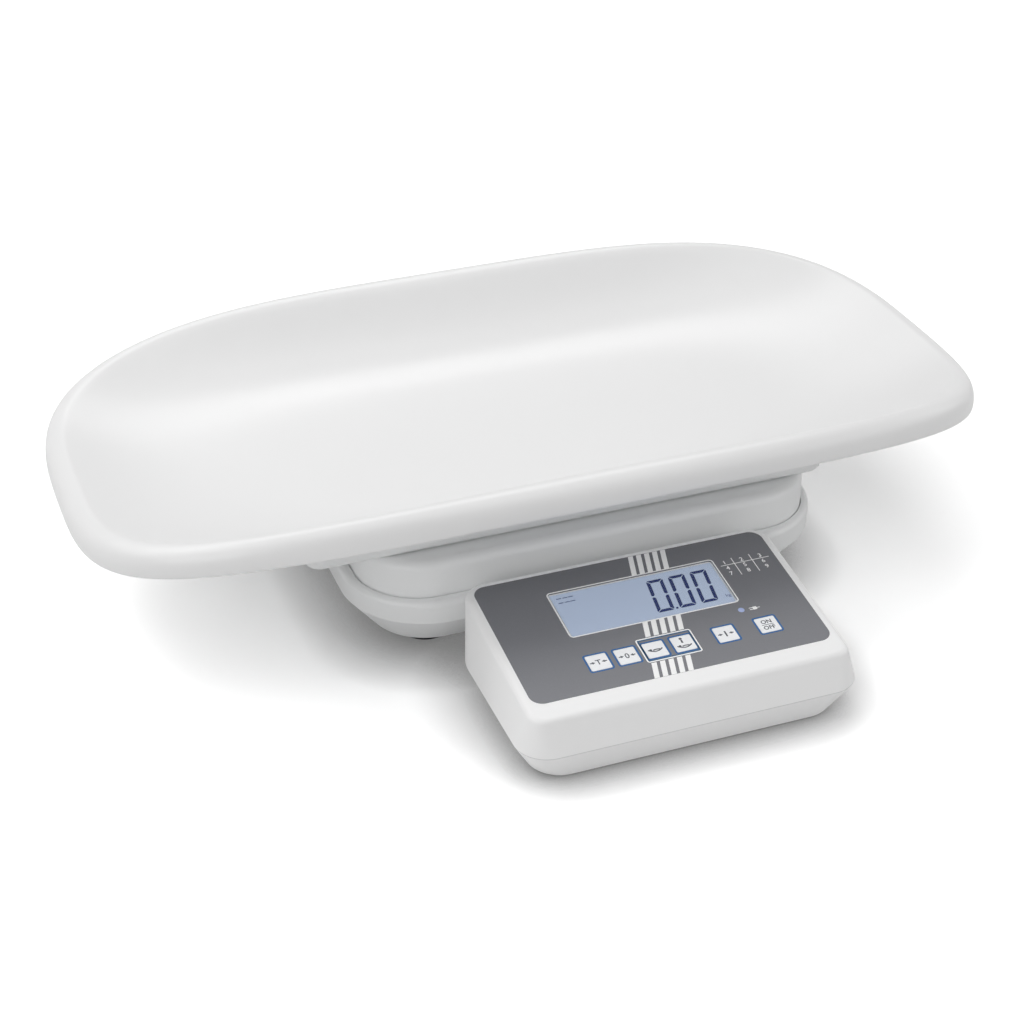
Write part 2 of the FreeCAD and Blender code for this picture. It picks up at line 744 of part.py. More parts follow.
def cover_buffers():
    """Rubber buffers that carry the cover on the carrier."""
    return group([disc(buffer_radius, x, y, carrier_top, carrier_top + buffer_height)
                  for x, y in corners(buffer_spacing_x, buffer_spacing_y)])


def cover_loop(inset, z):
    """Plan outline of the platform cover, drawn in by inset."""
    half_x = base_length / 2 - cover_inset - inset
    half_y = base_width / 2 - cover_inset - inset
    radius = cover_corner_radius - inset
    return rounded_wire(half_x, -half_y, half_y, radius, radius, level(z))


def platform_cover():
    """Inverted tub that nests in the housing, with buffer bosses inside and two peg holes on top."""
    skirt = housing_rim - cover_nest_depth
    outer = Part.Face(cover_loop(0.0, skirt)).extrude(Vector(0, 0, cover_top - skirt))
    outer = outer.makeFillet(cover_edge_radius,
                             [e for e in outer.Edges if e.BoundBox.ZMin > cover_top - 0.001])
    inner = Part.Face(cover_loop(cover_wall, skirt)).extrude(Vector(0, 0, cover_under - skirt))
    inner = inner.makeFillet(cover_edge_radius - cover_wall,
                             [e for e in inner.Edges if e.BoundBox.ZMin > cover_under - 0.001])
    bosses = [disc(buffer_radius + cover_wall, x, y, carrier_top + buffer_height, cover_under)
              for x, y in corners(buffer_spacing_x, buffer_spacing_y)]
    holes = [disc(peg_radius + free_gap, x, 0.0, cover_under, cover_top)
             for x in (-peg_spacing / 2, peg_spacing / 2)]
    return outer.cut(inner).fuse(bosses).cut(holes)


# ================================================================ levelling feet
def foot_pad():
    """Rubber pad with a bevelled lower edge, moulded round the stud."""
    inner = foot_stud_radius + fit_gap
    floor = foot_pad_height - foot_stud_sink
    profile = [(0.0, 0.0), (foot_pad_radius - foot_pad_edge, 0.0), (foot_pad_radius, foot_pad_edge),
               (foot_pad_radius, foot_pad_height - foot_pad_edge),
               (foot_pad_radius - foot_pad_edge, foot_pad_height), (inner, foot_pad_height),
               (inner, floor), (0.0, floor)]
    return revolve(profile)


def foot_stud():
    """Threaded stud with its hexagonal collar."""
    shank = disc(foot_stud_radius, 0, 0, foot_pad_height - foot_stud_sink, foot_stud_top)
    collar = hexagon(foot_collar_radius, 0, 0, foot_pad_height, foot_pad_height + foot_collar_height)
    return joined([shank, collar])


# ================================================================ display terminal
def terminal_loop(side_inset, end_inset, wall, z):
    """Outline of the lower body at height z, drawn in at sides and ends by its insets and the wall."""
    half_x = terminal_width / 2 + terminal_side_lean - side_inset - wall
    front, back = terminal_low_front_radius - wall, terminal_low_back_radius - wall
    return rounded_wire(half_x, end_inset + wall, terminal_depth - end_inset - wall, front, back, level(z))


def panel_height(drop):
    """Height function of the sloping panel, lowered by drop at right angles to itself."""
    lowered = terminal_front_height - drop / math.cos(math.radians(panel_tilt))
    return lambda y: lowered + panel_rise / panel_run * (y - terminal_front_lean)


def bottom_body(wall):
    """Solid form of the lower shell, drawn in by wall."""
    low = terminal_loop(terminal_side_taper, terminal_foot_taper, wall, terminal_foot_height + wall)
    high = terminal_loop(0.0, 0.0, wall, terminal_part_height)
    return Part.makeLoft([low, high], True, True)


def top_body(wall, drop):
    """Solid form of the upper shell, drawn in by wall and with its panel lowered by drop."""
    low = terminal_loop(0.0, 0.0, wall, terminal_part_height)
    high = rounded_wire(terminal_width / 2 - wall, terminal_front_lean + wall, terminal_depth - wall,
                        terminal_top_front_radius - wall, terminal_top_back_radius - wall,
                        panel_height(drop))
    return Part.makeLoft([low, high], True, True)


def terminal_boss_places():
    """Four screw columns in the terminal's corners."""
    spacing_x = terminal_width - 2 * terminal_boss_inset
    spacing_y = terminal_depth - 2 * terminal_boss_inset
    return corners(spacing_x, spacing_y, 0.0, terminal_depth / 2)


def stand_screw_places():
    """Two holes under the terminal for a stand or a wall plate."""
    return [(-stand_screw_spacing / 2, stand_screw_row), (stand_screw_spacing / 2, stand_screw_row)]


def bay_block(margin_x, margin_y, z0, z1):
    """Block over the cell bay, larger by its margins."""
    half_x = bay_half_length + margin_x
    half_y = bay_half_width + margin_y
    return box(-half_x, half_x, battery_middle - half_y, battery_middle + half_y, z0, z1)


def lid_screw_places():
    """One screw at each end of the battery lid."""
    reach = bay_half_length + lid_margin_x / 2
    return [(-reach, battery_middle), (reach, battery_middle)]


def terminal_bottom_shell():
    """Lower shell: screw wells, a cell bay open below with a rim for its lid, bosses for a stand."""
    floor = terminal_foot_height
    lid_top = floor + lid_thickness
    well_top = floor + terminal_well_depth
    screw_top = lid_top + small_screw_bite
    form = bottom_body(0.0)
    shell = form.cut(bottom_body(terminal_wall))
    bay = bay_block(battery_wall, battery_wall, floor, bay_roof + battery_wall)
    rim = bay_block(lid_margin_x + battery_wall, lid_margin_y + battery_wall, floor,
                    lid_top + battery_wall)
    bosses = [disc(small_boss_radius, x, y, lid_top, screw_top + battery_wall)
              for x, y in lid_screw_places()]
    stands = [disc(boss_radius, x, y, floor, floor + stand_screw_depth + battery_wall)
              for x, y in stand_screw_places()]
    columns = [disc(boss_radius, x, y, floor, terminal_part_height) for x, y in terminal_boss_places()]
    cuts = [bay_block(0.0, 0.0, floor, bay_roof), bay_block(lid_margin_x, lid_margin_y, floor, lid_top)]
    cuts += [disc(small_screw_radius + fit_gap, x, y, lid_top, screw_top) for x, y in lid_screw_places()]
    cuts += [disc(stand_screw_radius, x, y, floor, floor + stand_screw_depth)
             for x, y in stand_screw_places()]
    cuts += [disc(screw_radius + running_gap, x, y, floor, terminal_part_height)
             for x, y in terminal_boss_places()]
    cuts += [disc(screw_head_radius + free_gap, x, y, floor, well_top) for x, y in terminal_boss_places()]
    return shell.fuse([bay, rim] + bosses + stands + columns).cut(cuts)


def key_places():
    """Middles of the six keys across the panel: four in an even row, two set apart."""
    row = [key_first + k * key_pitch for k in range(4)]
    return row + [row[-1] + key_wide_pitch, row[-1] + 2 * key_wide_pitch]


def window_block(margin, z0, z1):
    """Block over the display window, larger by margin all round, in the panel's frame."""
    return slab(window_length + 2 * margin, window_width + 2 * margin, window_corner_radius + margin,
                z0, z1, window_shift, window_middle)


def key_block(margin, z0, z1):
    """Blocks over the six keys, larger by margin all round."""
    size = key_size + 2 * margin
    return [slab(size, size, key_corner_radius + margin, z0, z1, x, key_row) for x in key_places()]


def board_boss_places():
    """Four screws hold the board under the panel."""
    return corners(board_length - 2 * board_boss_inset, board_width - 2 * board_boss_inset,
                   0.0, overlay_middle)


def panel_cuts():
    """What is taken out of the panel for overlay, window, keys and lamp, in the panel's frame."""
    above = overlay_recess
    pocket = slab(overlay_length + 2 * fit_gap, overlay_width + 2 * fit_gap, overlay_corner_radius,
                  -overlay_recess, above, 0.0, overlay_middle)
    stems = [disc(key_stem_radius + free_gap, x, key_row, -panel_wall, 0.0) for x in key_places()]
    lamp = disc(led_radius + fit_gap, led_x, led_row, -panel_wall, 0.0)
    key_floor = -key_thickness - key_travel - running_gap
    opening = window_block(-window_ledge, -panel_wall, 0.0)
    return [pocket, opening, lamp] + stems + key_block(key_gap, key_floor, 0.0)


def socket_places():
    """The two sockets in the back wall, as middle and barrel radius."""
    return [(jack_x, jack_barrel_radius), (signal_x, signal_barrel_radius)]


def terminal_top_shell():
    """Upper shell: sloping panel with its recesses, bosses inside, two sockets' holes behind."""
    form = top_body(0.0, 0.0)
    crown = [e for e in form.Edges if e.BoundBox.ZMin > terminal_part_height + 1]
    crown = [e for e in crown if abs(e.BoundBox.ZMax - panel_height(0.0)(e.BoundBox.YMax)) < 0.001]
    form = form.makeFillet(terminal_edge_radius, crown)
    shell = form.cut(top_body(terminal_wall, panel_wall))
    sunk = (overlay_recess + panel_wall) / 2
    columns = [disc(boss_radius, x, y, terminal_part_height, panel_height(sunk)(y))
               for x, y in terminal_boss_places()]
    bosses = [on_panel(disc(small_boss_radius, x, y, board_face, -sunk)) for x, y in board_boss_places()]
    cuts = [on_panel(cut) for cut in panel_cuts()]
    cuts += [disc(screw_radius + fit_gap, x, y, terminal_part_height,
                  terminal_part_height + terminal_screw_bite + fit_gap)
             for x, y in terminal_boss_places()]
    cuts += [on_panel(disc(small_screw_radius + fit_gap, x, y, board_face,
                           board_face + small_screw_bite + fit_gap)) for x, y in board_boss_places()]
    back = terminal_depth
    for x, radius in socket_places():
        cuts.append(lying_disc(radius + fit_gap, x, socket_height, back - terminal_wall, back))
        cuts.append(lying_disc(radius + socket_flange_margin + fit_gap, x, socket_height,
                               back - socket_flange_height, back))
    return shell.fuse(columns + bosses).cut(cuts)


def terminal_screws():
    """Long screws from below, through the lower shell's columns into the upper shell's."""
    seat = terminal_foot_height + terminal_well_depth
    screws = []
    for x, y in terminal_boss_places():
        head = disc(screw_head_radius, x, y, seat - screw_head_height, seat)
        shank = disc(screw_radius, x, y, seat, terminal_part_height + terminal_screw_bite)
        screws.append(joined([head, shank]))
    return group(screws)


def terminal_feet():
    """Four rubber feet under the terminal."""
    places = corners(terminal_width - 2 * terminal_foot_inset, terminal_depth - 2 * terminal_foot_inset,
                     0.0, terminal_depth / 2)
    return group([disc(terminal_foot_radius, x, y, 0.0, terminal_foot_height) for x, y in places])


# ================================================================ control panel
def keypad_overlay():
    """Thin printed plate in the panel's pocket, cut out for window, keys and lamp."""
    top = -overlay_recess + overlay_thickness
    plate = slab(overlay_length, overlay_width, overlay_corner_radius, -overlay_recess, top,
                 0.0, overlay_middle)
    lamp = disc(led_radius + fit_gap, led_x, led_row, -overlay_recess, top)
    window = window_block(fit_gap, -overlay_recess, top)
    return plate.cut([window, lamp] + key_block(key_gap, -overlay_recess, top))


def lcd_window():
    """Clear window on the ledge of the panel's opening, flush with the overlay."""
    return window_block(0.0, -overlay_recess, -overlay_recess + overlay_thickness)


def lcd_glass():
    """Display cell: its raised face stands in the opening, its flange lies under the panel."""
    face = window_block(-window_ledge - fit_gap, -panel_wall, -overlay_recess - fit_gap)
    flange = window_block(lcd_flange, -panel_wall - lcd_flange_thickness, -panel_wall)
    return joined([face, flange])


def lcd_backlight():
    """Light box between the display cell and the board."""
    return window_block(lcd_flange, board_face, -panel_wall - lcd_flange_thickness)


def main_board():
    """Circuit board screwed under the panel."""
    plate = slab(board_length, board_width, board_corner_radius, board_face - board_thickness, board_face,
                 0.0, overlay_middle)
    return plate.cut([disc(small_screw_radius + running_gap, x, y, board_face - board_thickness,
                           board_face) for x, y in board_boss_places()])


def board_screws():
    """Small screws that hold the board to the panel's bosses."""
    back = board_face - board_thickness
    screws = []
    for x, y in board_boss_places():
        head = disc(small_screw_head_radius, x, y, back - small_screw_head_height, back)
        shank = disc(small_screw_radius, x, y, back, board_face + small_screw_bite)
        screws.append(joined([head, shank]))
    return group(screws)


def key_switches():
    """Tactile switches on the board, one under each key."""
    switches = []
    for x in key_places():
        half = switch_size / 2
        body = box(x - half, x + half, key_row - half, key_row + half, board_face,
                   board_face + switch_height)
        plunger = disc(switch_plunger_radius, x, key_row, board_face + switch_height, plunger_top)
        switches.append(joined([body, plunger]))
    return group(switches)


def key_cap(x):
    """Square key with the stem that reaches down to its switch."""
    cap = slab(key_size, key_size, key_corner_radius, -key_thickness, 0.0, x, key_row)
    stem = disc(key_stem_radius, x, key_row, plunger_top + key_travel + running_gap, -key_thickness)
    return joined([cap, stem])


def board_chips():
    """Chips under the board."""
    half = chip_size / 2
    back = board_face - board_thickness
    middles = [chip_spacing * (k - (chip_count - 1) / 2) for k in range(chip_count)]
    return group([box(x - half, x + half, chip_row - half, chip_row + half, back - chip_height, back)
                  for x in middles])


def charge_lamp():
    """Light-emitting diode on the board with the light guide that shows in the overlay."""
    half = led_body_size / 2
    body = box(led_x - half, led_x + half, led_row - half, led_row + half, board_face,
               board_face + led_body_height)
    guide = disc(led_radius, led_x, led_row, board_face + led_body_height,
                 -overlay_recess + overlay_thickness)
    return joined([body, guide])


# ================================================================ power and signal
def battery_cells():
    """Six cells in the bay, two in line in each of three rows, turned about from row to row."""
    cells = []
    for row in range(battery_rows):
        y = battery_middle + (row - (battery_rows - 1) / 2) * battery_row_pitch
        for column in range(battery_columns):
            start = -bay_half_length + contact_thickness + column * (cell_pitch + contact_thickness)
            can = Part.makeCylinder(cell_aa_radius, cell_aa_length, Vector(start, y, battery_axis),
                                    Vector(1, 0, 0))
            button = Part.makeCylinder(cell_aa_button_radius, cell_aa_button_height,
                                       Vector(start + cell_aa_length, y, battery_axis), Vector(1, 0, 0))
            cell = joined([can, button])
            if row % 2:
                cell.rotate(Vector(start + cell_pitch / 2, y, battery_axis), AXIS_UP, 180)
            cells.append(cell)
    return group(cells)


def battery_contacts():
    """Contact plates at both ends of the rows and between the cells."""
    half_y = battery_row_pitch / 2 - contact_thickness
    plates = []
    for row in range(battery_rows):
        y = battery_middle + (row - (battery_rows - 1) / 2) * battery_row_pitch
        for column in range(battery_columns + 1):
            start = -bay_half_length + column * (cell_pitch + contact_thickness)
            plates.append(box(start, start + contact_thickness, y - half_y, y + half_y,
                              battery_axis - cell_aa_radius, battery_axis + cell_aa_radius))
    return group(plates)


def battery_lid():
    """Lid over the cell bay, flush with the underside, with sunk screw holes."""
    floor = terminal_foot_height
    top = floor + lid_thickness
    plate = bay_block(lid_margin_x - free_gap, lid_margin_y - free_gap, floor, top)
    holes = [disc(small_screw_radius + running_gap, x, y, floor, top) for x, y in lid_screw_places()]
    sinks = [disc(small_screw_head_radius + free_gap, x, y, floor, floor + small_screw_head_height)
             for x, y in lid_screw_places()]
    return plate.cut(holes + sinks)


def lid_screws():
    """Two screws that hold the battery lid."""
    floor = terminal_foot_height
    screws = []
    for x, y in lid_screw_places():
        head = disc(small_screw_head_radius, x, y, floor, floor + small_screw_head_height)
        shank = disc(small_screw_radius, x, y, floor + small_screw_head_height,
                     floor + lid_thickness + small_screw_bite - fit_gap)
        screws.append(joined([head, shank]))
    return group(screws)


def socket_body(x, radius, length, bore_radius, bore_depth):
    """Barrel through the back wall with its sunk flange and an open bore."""
    back = terminal_depth
    flange = lying_disc(radius + socket_flange_margin, x, socket_height, back - socket_flange_height, back)
    barrel = lying_disc(radius, x, socket_height, back - length, back)
    bore = lying_disc(bore_radius, x, socket_height, back - bore_depth, back)
    return joined([flange, barrel]).cut(bore)


def dc_jack():
    """Low-voltage jack: bore with a centre pin."""
    body = socket_body(jack_x, jack_barrel_radius, jack_body_length, jack_bore_radius, jack_bore_depth)
    pin = lying_disc(jack_pin_radius, jack_x, socket_height, terminal_depth - jack_bore_depth,
                     terminal_depth - socket_flange_height)
    return joined([body, pin])


def signal_socket():
    """Round multi-pin socket for the lead from the platform."""
    body = socket_body(signal_x, signal_barrel_radius, signal_body_length,
                       signal_barrel_radius - signal_shell, signal_insert_depth)
    pins = []
    for k in range(signal_pins):
        turn = 2 * math.pi * k / signal_pins
        pins.append(lying_disc(signal_pin_radius, signal_x + signal_pin_ring * math.cos(turn),
                               socket_height + signal_pin_ring * math.sin(turn),
                               terminal_depth - signal_insert_depth,
                               terminal_depth - socket_flange_height))
    return joined([body] + pins)


def socket_nuts():
    """Ring nuts that clamp the sockets from inside."""
    inner = terminal_depth - terminal_wall
    nuts = []
    for x, radius in socket_places():
        ring = lying_disc(radius + nut_wall, x, socket_height, inner - nut_height, inner)
        nuts.append(ring.cut(lying_disc(radius + fit_gap, x, socket_height, inner - nut_height, inner)))
    return group(nuts)


# ================================================================ nodes
key_names = ("tare_key", "zero_key", "tray_key", "baby_key", "hold_key", "power_key")
foot_names = ("front_left", "front_right", "back_left", "back_right")

nodes = {
    "tray": in_tray(tray()),
    "tray_bracket": in_tray(tray_bracket()),
    "bracket_screws": in_tray(bracket_screws()),
    "bracket_pads": in_tray(bracket_pads()),
    "platform_cover": in_base(platform_cover()),
    "cover_buffers": in_base(cover_buffers()),
    "load_carrier": in_base(load_carrier()),
    "carrier_spacer": in_base(cell_mount(1, cell_top, carrier_bottom)),
    "carrier_bolts": in_base(cell_bolts(1, carrier_top, -1)),
    "base_housing": in_base(base_housing()),
    "base_frame": in_base(base_frame()),
    "frame_screws": in_base(frame_screws()),
    "frame_spacer": in_base(cell_mount(-1, frame_top, cell_bottom)),
    "frame_bolts": in_base(cell_bolts(-1, frame_bottom, 1)),
    "load_cell": in_base(load_cell()),
    "overload_stops": in_base(overload_stops()),
    "foot_inserts": in_base(foot_inserts()),
    "cable_grommet": in_base(cable_grommet()),
    "terminal_bottom_shell": in_terminal(terminal_bottom_shell()),
    "terminal_top_shell": in_terminal(terminal_top_shell()),
    "terminal_screws": in_terminal(terminal_screws()),
    "terminal_feet": in_terminal(terminal_feet()),
    "keypad_overlay": in_terminal(on_panel(keypad_overlay())),
    "lcd_window": in_terminal(on_panel(lcd_window())),
    "lcd_glass": in_terminal(on_panel(lcd_glass())),
    "lcd_backlight": in_terminal(on_panel(lcd_backlight())),
    "main_board": in_terminal(on_panel(main_board())),
    "board_screws": in_terminal(on_panel(board_screws())),
    "board_chips": in_terminal(on_panel(board_chips())),
    "key_switches": in_terminal(on_panel(key_switches())),
    "charge_lamp": in_terminal(on_panel(charge_lamp())),
    "dc_jack": in_terminal(dc_jack()),
    "signal_socket": in_terminal(signal_socket()),
    "socket_nuts": in_terminal(socket_nuts()),
    "battery_cells": in_terminal(battery_cells()),
    "battery_contacts": in_terminal(battery_contacts()),
    "battery_lid": in_terminal(battery_lid()),
    "lid_screws": in_terminal(lid_screws()),
}
for name, x in zip(key_names, key_places()):
    nodes[name] = in_terminal(on_panel(key_cap(x)))
for name, (x, y) in zip(foot_names, corners(foot_spacing_x, foot_spacing_y)):
    nodes["foot_pad_" + name] = in_base(moved(foot_pad(), x, y))
    nodes["foot_stud_" + name] = in_base(moved(foot_stud(), x, y))

for name, shape in nodes.items():
    shape.exportStep(os.path.join("parts", name + ".step"))
    box_now = shape.BoundBox
    print("%-24s solids %2d  volume %9.1f  z %6.2f to %6.2f" % (
        name, len(shape.Solids), shape.Volume, box_now.ZMin, box_now.ZMax))
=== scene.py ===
# %% [markdown]
# # Digital baby weighing scale
# A moulded trough stands on a load-cell platform, and a wedge-shaped terminal with keys and a
# display stands in front of it. The construction comes ready as a frame of CAD nodes. This script
# gives every surface its finish and makes the pieces whose form is smoother or finer than CAD
# facets: the trough's skin and everything that is printed on the panel.

# %% Load the frame
import json
import math

import bpy
import numpy as np
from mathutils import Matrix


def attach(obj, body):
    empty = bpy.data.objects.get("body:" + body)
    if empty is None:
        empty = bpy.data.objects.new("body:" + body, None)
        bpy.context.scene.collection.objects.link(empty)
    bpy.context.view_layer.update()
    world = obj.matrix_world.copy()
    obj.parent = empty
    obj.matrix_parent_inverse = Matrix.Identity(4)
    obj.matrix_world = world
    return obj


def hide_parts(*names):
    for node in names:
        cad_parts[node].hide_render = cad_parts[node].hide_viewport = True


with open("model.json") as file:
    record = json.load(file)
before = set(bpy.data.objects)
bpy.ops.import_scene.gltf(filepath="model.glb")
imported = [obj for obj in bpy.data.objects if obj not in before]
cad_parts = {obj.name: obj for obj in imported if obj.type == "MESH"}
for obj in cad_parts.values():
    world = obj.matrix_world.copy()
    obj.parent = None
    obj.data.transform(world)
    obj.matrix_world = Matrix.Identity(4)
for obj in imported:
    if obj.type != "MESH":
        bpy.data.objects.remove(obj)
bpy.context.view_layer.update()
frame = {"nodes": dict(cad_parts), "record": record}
MM = 0.001

# %% [markdown]
# ## Camera
# A catalogue picture is taken from well back with a long lens, so that the far end of the tray
# doesn't shrink much. The place and the angles are those at which tray, base and terminal all
# line up.

# %% Camera
CAMERA_PLACE = (-0.4245, -1.0727, 0.7666)
CAMERA_PITCH = 31.91       # degrees below the horizon
CAMERA_YAW = 20.51         # degrees from +Y towards +X
CAMERA_LENS = 74.25        # millimetres on a 36 mm sensor
CAMERA_CLIP = (0.05, 50.0)


def make_camera():
    """A level camera turned by yaw about Z and tipped down by pitch."""
    data = bpy.data.cameras.new("camera")
    data.lens = CAMERA_LENS
    data.clip_start, data.clip_end = CAMERA_CLIP
    camera = bpy.data.objects.new("camera", data)
    camera.location = CAMERA_PLACE
    camera.rotation_euler = (math.radians(90 - CAMERA_PITCH), 0, math.radians(-CAMERA_YAW))
    bpy.context.collection.objects.link(camera)
    bpy.context.scene.camera = camera


make_camera()
print("camera at", CAMERA_PLACE)

# %% [markdown]
# ## Colours and nodes
# Colours are written as the sRGB values that a painter would pick, and one function turns them
# into the linear values that the renderer works with. A node tree could be drawn by hand in the
# editor. Here one more function adds a node, sets it and links it, so that a material reads from
# top to bottom like a recipe.

# %% Colour and node helpers
def linear(hex_code):
    """sRGB hex to linear RGBA: each channel is c / 12.92 below 0.04045, and above that
    ((c + 0.055) / 1.055) ** 2.4."""
    values = [int(hex_code[k:k + 2], 16) / 255 for k in (1, 3, 5)]
    return [c / 12.92 if c <= 0.04045 else ((c + 0.055) / 1.055) ** 2.4 for c in values] + [1.0]


def add(tree, kind, inputs=None, **settings):
    """Adds a node; inputs maps a socket's name or number to a value or another node's output."""
    node = tree.nodes.new(kind)
    for name, value in settings.items():
        setattr(node, name, value)
    for key, value in (inputs or {}).items():
        if isinstance(value, bpy.types.NodeSocket):
            tree.links.new(value, node.inputs[key])
        else:
            node.inputs[key].default_value = value
    return node


def new_material(name):
    """An empty node material: the material itself, its tree and its output node."""
    material = bpy.data.materials.new(name)
    material.use_nodes = True
    material.node_tree.nodes.clear()
    output = add(material.node_tree, "ShaderNodeOutputMaterial")
    return material, material.node_tree, output


print("middle grey #808080 in linear light:", round(linear("#808080")[0], 3))

# %% [markdown]
# ## Moulded plastics
# The tray is ABS moulded against a polished steel tool, so it is glossy with a faint long wave in
# the surface, called orange peel. The base and the terminal were moulded against a spark-eroded
# tool, which leaves a fine satin grain. Both are the same shader with other grain and roughness:
# the wave and the grain are noise in object space, so they stay put when the object moves.

# %% Moulded plastic
ABS_IOR = 1.53
TINT_PATCH, TINT_LOW = 90, 0.985               # patches in mm, share of the colour in the darkest
RUB_PATCH, RUB_LOW, RUB_HIGH = 35, 0.9, 1.15   # patches in mm, shares of the roughness
SEAM_CORE, SEAM_FADE, SEAM_PAINTED_SHADE = 0.1, 0.4, 0.3   # two distances in mm, and the share of the colour taken off as painted shade in the seam's groove


def seam_line(tree, place, height_mm):
    """Mask of the painted seam shade: 1 within SEAM_CORE of the level z = height_mm, falling to 0
    at SEAM_FADE.
    """
    level = add(tree, "ShaderNodeSeparateXYZ", {0: place}).outputs["Z"]
    above = add(tree, "ShaderNodeMath", {0: level, 1: height_mm * MM}, operation="SUBTRACT")
    away = add(tree, "ShaderNodeMath", {0: above.outputs[0]}, operation="ABSOLUTE")
    line = add(tree, "ShaderNodeMapRange",
               {"Value": away.outputs[0], "From Min": SEAM_CORE * MM, "From Max": SEAM_FADE * MM,
                "To Min": 1.0, "To Max": 0.0})
    return line.outputs[0]


def moulded(name, colour, roughness, wave_mm, wave_height_mm, grain_mm, grain_height_mm,
            seam_mm=None):
    """ABS: the colour varies by a percent over palm-sized patches, and the bump is a long wave
    plus a fine grain. At z = seam_mm, where two shells meet, the colour is darkened along a thin
    line: painted shade in place of the parting seam's groove."""
    material, tree, output = new_material(name)
    place = add(tree, "ShaderNodeTexCoord").outputs["Object"]
    patch = add(tree, "ShaderNodeTexNoise",
                {"Vector": place, "Scale": 1 / (TINT_PATCH * MM), "Detail": 2.0})
    shade = add(tree, "ShaderNodeMapRange",
                {"Value": patch.outputs["Fac"], "To Min": TINT_LOW, "To Max": 1.0})
    if seam_mm is not None:
        # painted shade: a thin darker line along the seam stands in for the shadow in its groove
        line = seam_line(tree, place, seam_mm)
        shade = add(tree, "ShaderNodeMath", {0: line, 1: -SEAM_PAINTED_SHADE, 2: shade.outputs[0]},
                    operation="MULTIPLY_ADD")
    tint = add(tree, "ShaderNodeVectorMath", {0: linear(colour)[:3], "Scale": shade.outputs[0]},
               operation="SCALE")
    rub = add(tree, "ShaderNodeTexNoise",
              {"Vector": place, "Scale": 1 / (RUB_PATCH * MM), "Detail": 4.0})
    gloss = add(tree, "ShaderNodeMapRange",
                {"Value": rub.outputs["Fac"], "To Min": roughness * RUB_LOW,
                 "To Max": roughness * RUB_HIGH})
    wave = add(tree, "ShaderNodeTexNoise",
               {"Vector": place, "Scale": 1 / (wave_mm * MM), "Detail": 1.0})
    grain = add(tree, "ShaderNodeTexNoise",
                {"Vector": place, "Scale": 1 / (grain_mm * MM), "Detail": 3.0})
    long_bump = add(tree, "ShaderNodeBump",
                    {"Height": wave.outputs["Fac"], "Distance": wave_height_mm * MM})
    bump = add(tree, "ShaderNodeBump",
               {"Height": grain.outputs["Fac"], "Distance": grain_height_mm * MM,
                "Normal": long_bump.outputs["Normal"]})
    shader = add(tree, "ShaderNodeBsdfPrincipled",
                 {"Base Color": tint.outputs[0], "Roughness": gloss.outputs[0], "IOR": ABS_IOR,
                  "Normal": bump.outputs["Normal"]})
    tree.links.new(shader.outputs[0], output.inputs["Surface"])
    return material


print("a seam fades out over", 2 * SEAM_FADE, "mm")

# %% The plastics of tray, base and terminal
# Polished ABS gives soft bright reflections that bend a little over the orange peel. Spark-eroded
# ABS looks even and dull; its real grain of 0.1 mm wouldn't show, so it is drawn at 0.9 mm.
POLISHED = dict(wave_mm=14, wave_height_mm=0.006, grain_mm=1.5, grain_height_mm=0.002)
SATIN = dict(wave_mm=20, wave_height_mm=0.01, grain_mm=0.9, grain_height_mm=0.012)
TERMINAL_SEAM = 22.0                           # height of the line where its two shells meet, mm, drawn as painted shade
polished_abs = moulded("polished_white_abs", "#F0F0F0", 0.3, **POLISHED)
finishes = {
    "tray_plastic": polished_abs,
    "base_plastic": moulded("grained_grey_abs", "#F7F8F8", 0.42, **SATIN),
    "bracket_plastic": moulded("grained_bracket_abs", "#F5F6F6", 0.42, **SATIN),
    "terminal_plastic": moulded("grained_white_abs", "#F9F9F9", 0.40, **SATIN,
                                seam_mm=TERMINAL_SEAM),
}
print("plastics:", ", ".join(material.name for material in finishes.values()))

# %% [markdown]
# ## Plain shop materials
# Screws, studs, rubber and the circuit board are seen from below or not at all. Each still gets
# the surface that its making leaves: brushed lines on turned steel, a dusty bloom on rubber. The
# film of the panel and the caps of the keys belong here too, because screen printing leaves a dull
# coat with a faint even speckle. A picture of each would do from afar, but noise in millimetres
# stays sharp close up.

# %% Metals
# Real turning lines are a few hundredths of a millimetre apart, too fine to show, so they are
# drawn at 0.3 to 0.5 mm.
TURNING_STRETCH = (0.15, 0.15, 1.0)            # in plan the lines are drawn out this much
TURNING_DEPTH = 0.004                          # mm
TURNING_LOW, TURNING_HIGH = 0.75, 1.25         # shares of the roughness


def metal(name, colour, roughness, line_mm):
    """Bare metal: roughness rises and falls along fine turning lines, which are noise that is
    stretched in plan."""
    material, tree, output = new_material(name)
    place = add(tree, "ShaderNodeTexCoord").outputs["Object"]
    squeezed = add(tree, "ShaderNodeMapping", {"Vector": place, "Scale": TURNING_STRETCH})
    lines = add(tree, "ShaderNodeTexNoise",
                {"Vector": squeezed.outputs[0], "Scale": 1 / (line_mm * MM), "Detail": 4.0})
    rough = add(tree, "ShaderNodeMapRange",
                {"Value": lines.outputs["Fac"], "To Min": roughness * TURNING_LOW,
                 "To Max": roughness * TURNING_HIGH})
    bump = add(tree, "ShaderNodeBump",
               {"Height": lines.outputs["Fac"], "Distance": TURNING_DEPTH * MM})
    shader = add(tree, "ShaderNodeBsdfPrincipled",
                 {"Base Color": linear(colour), "Metallic": 1.0, "Roughness": rough.outputs[0],
                  "Normal": bump.outputs["Normal"]})
    tree.links.new(shader.outputs[0], output.inputs["Surface"])
    return material


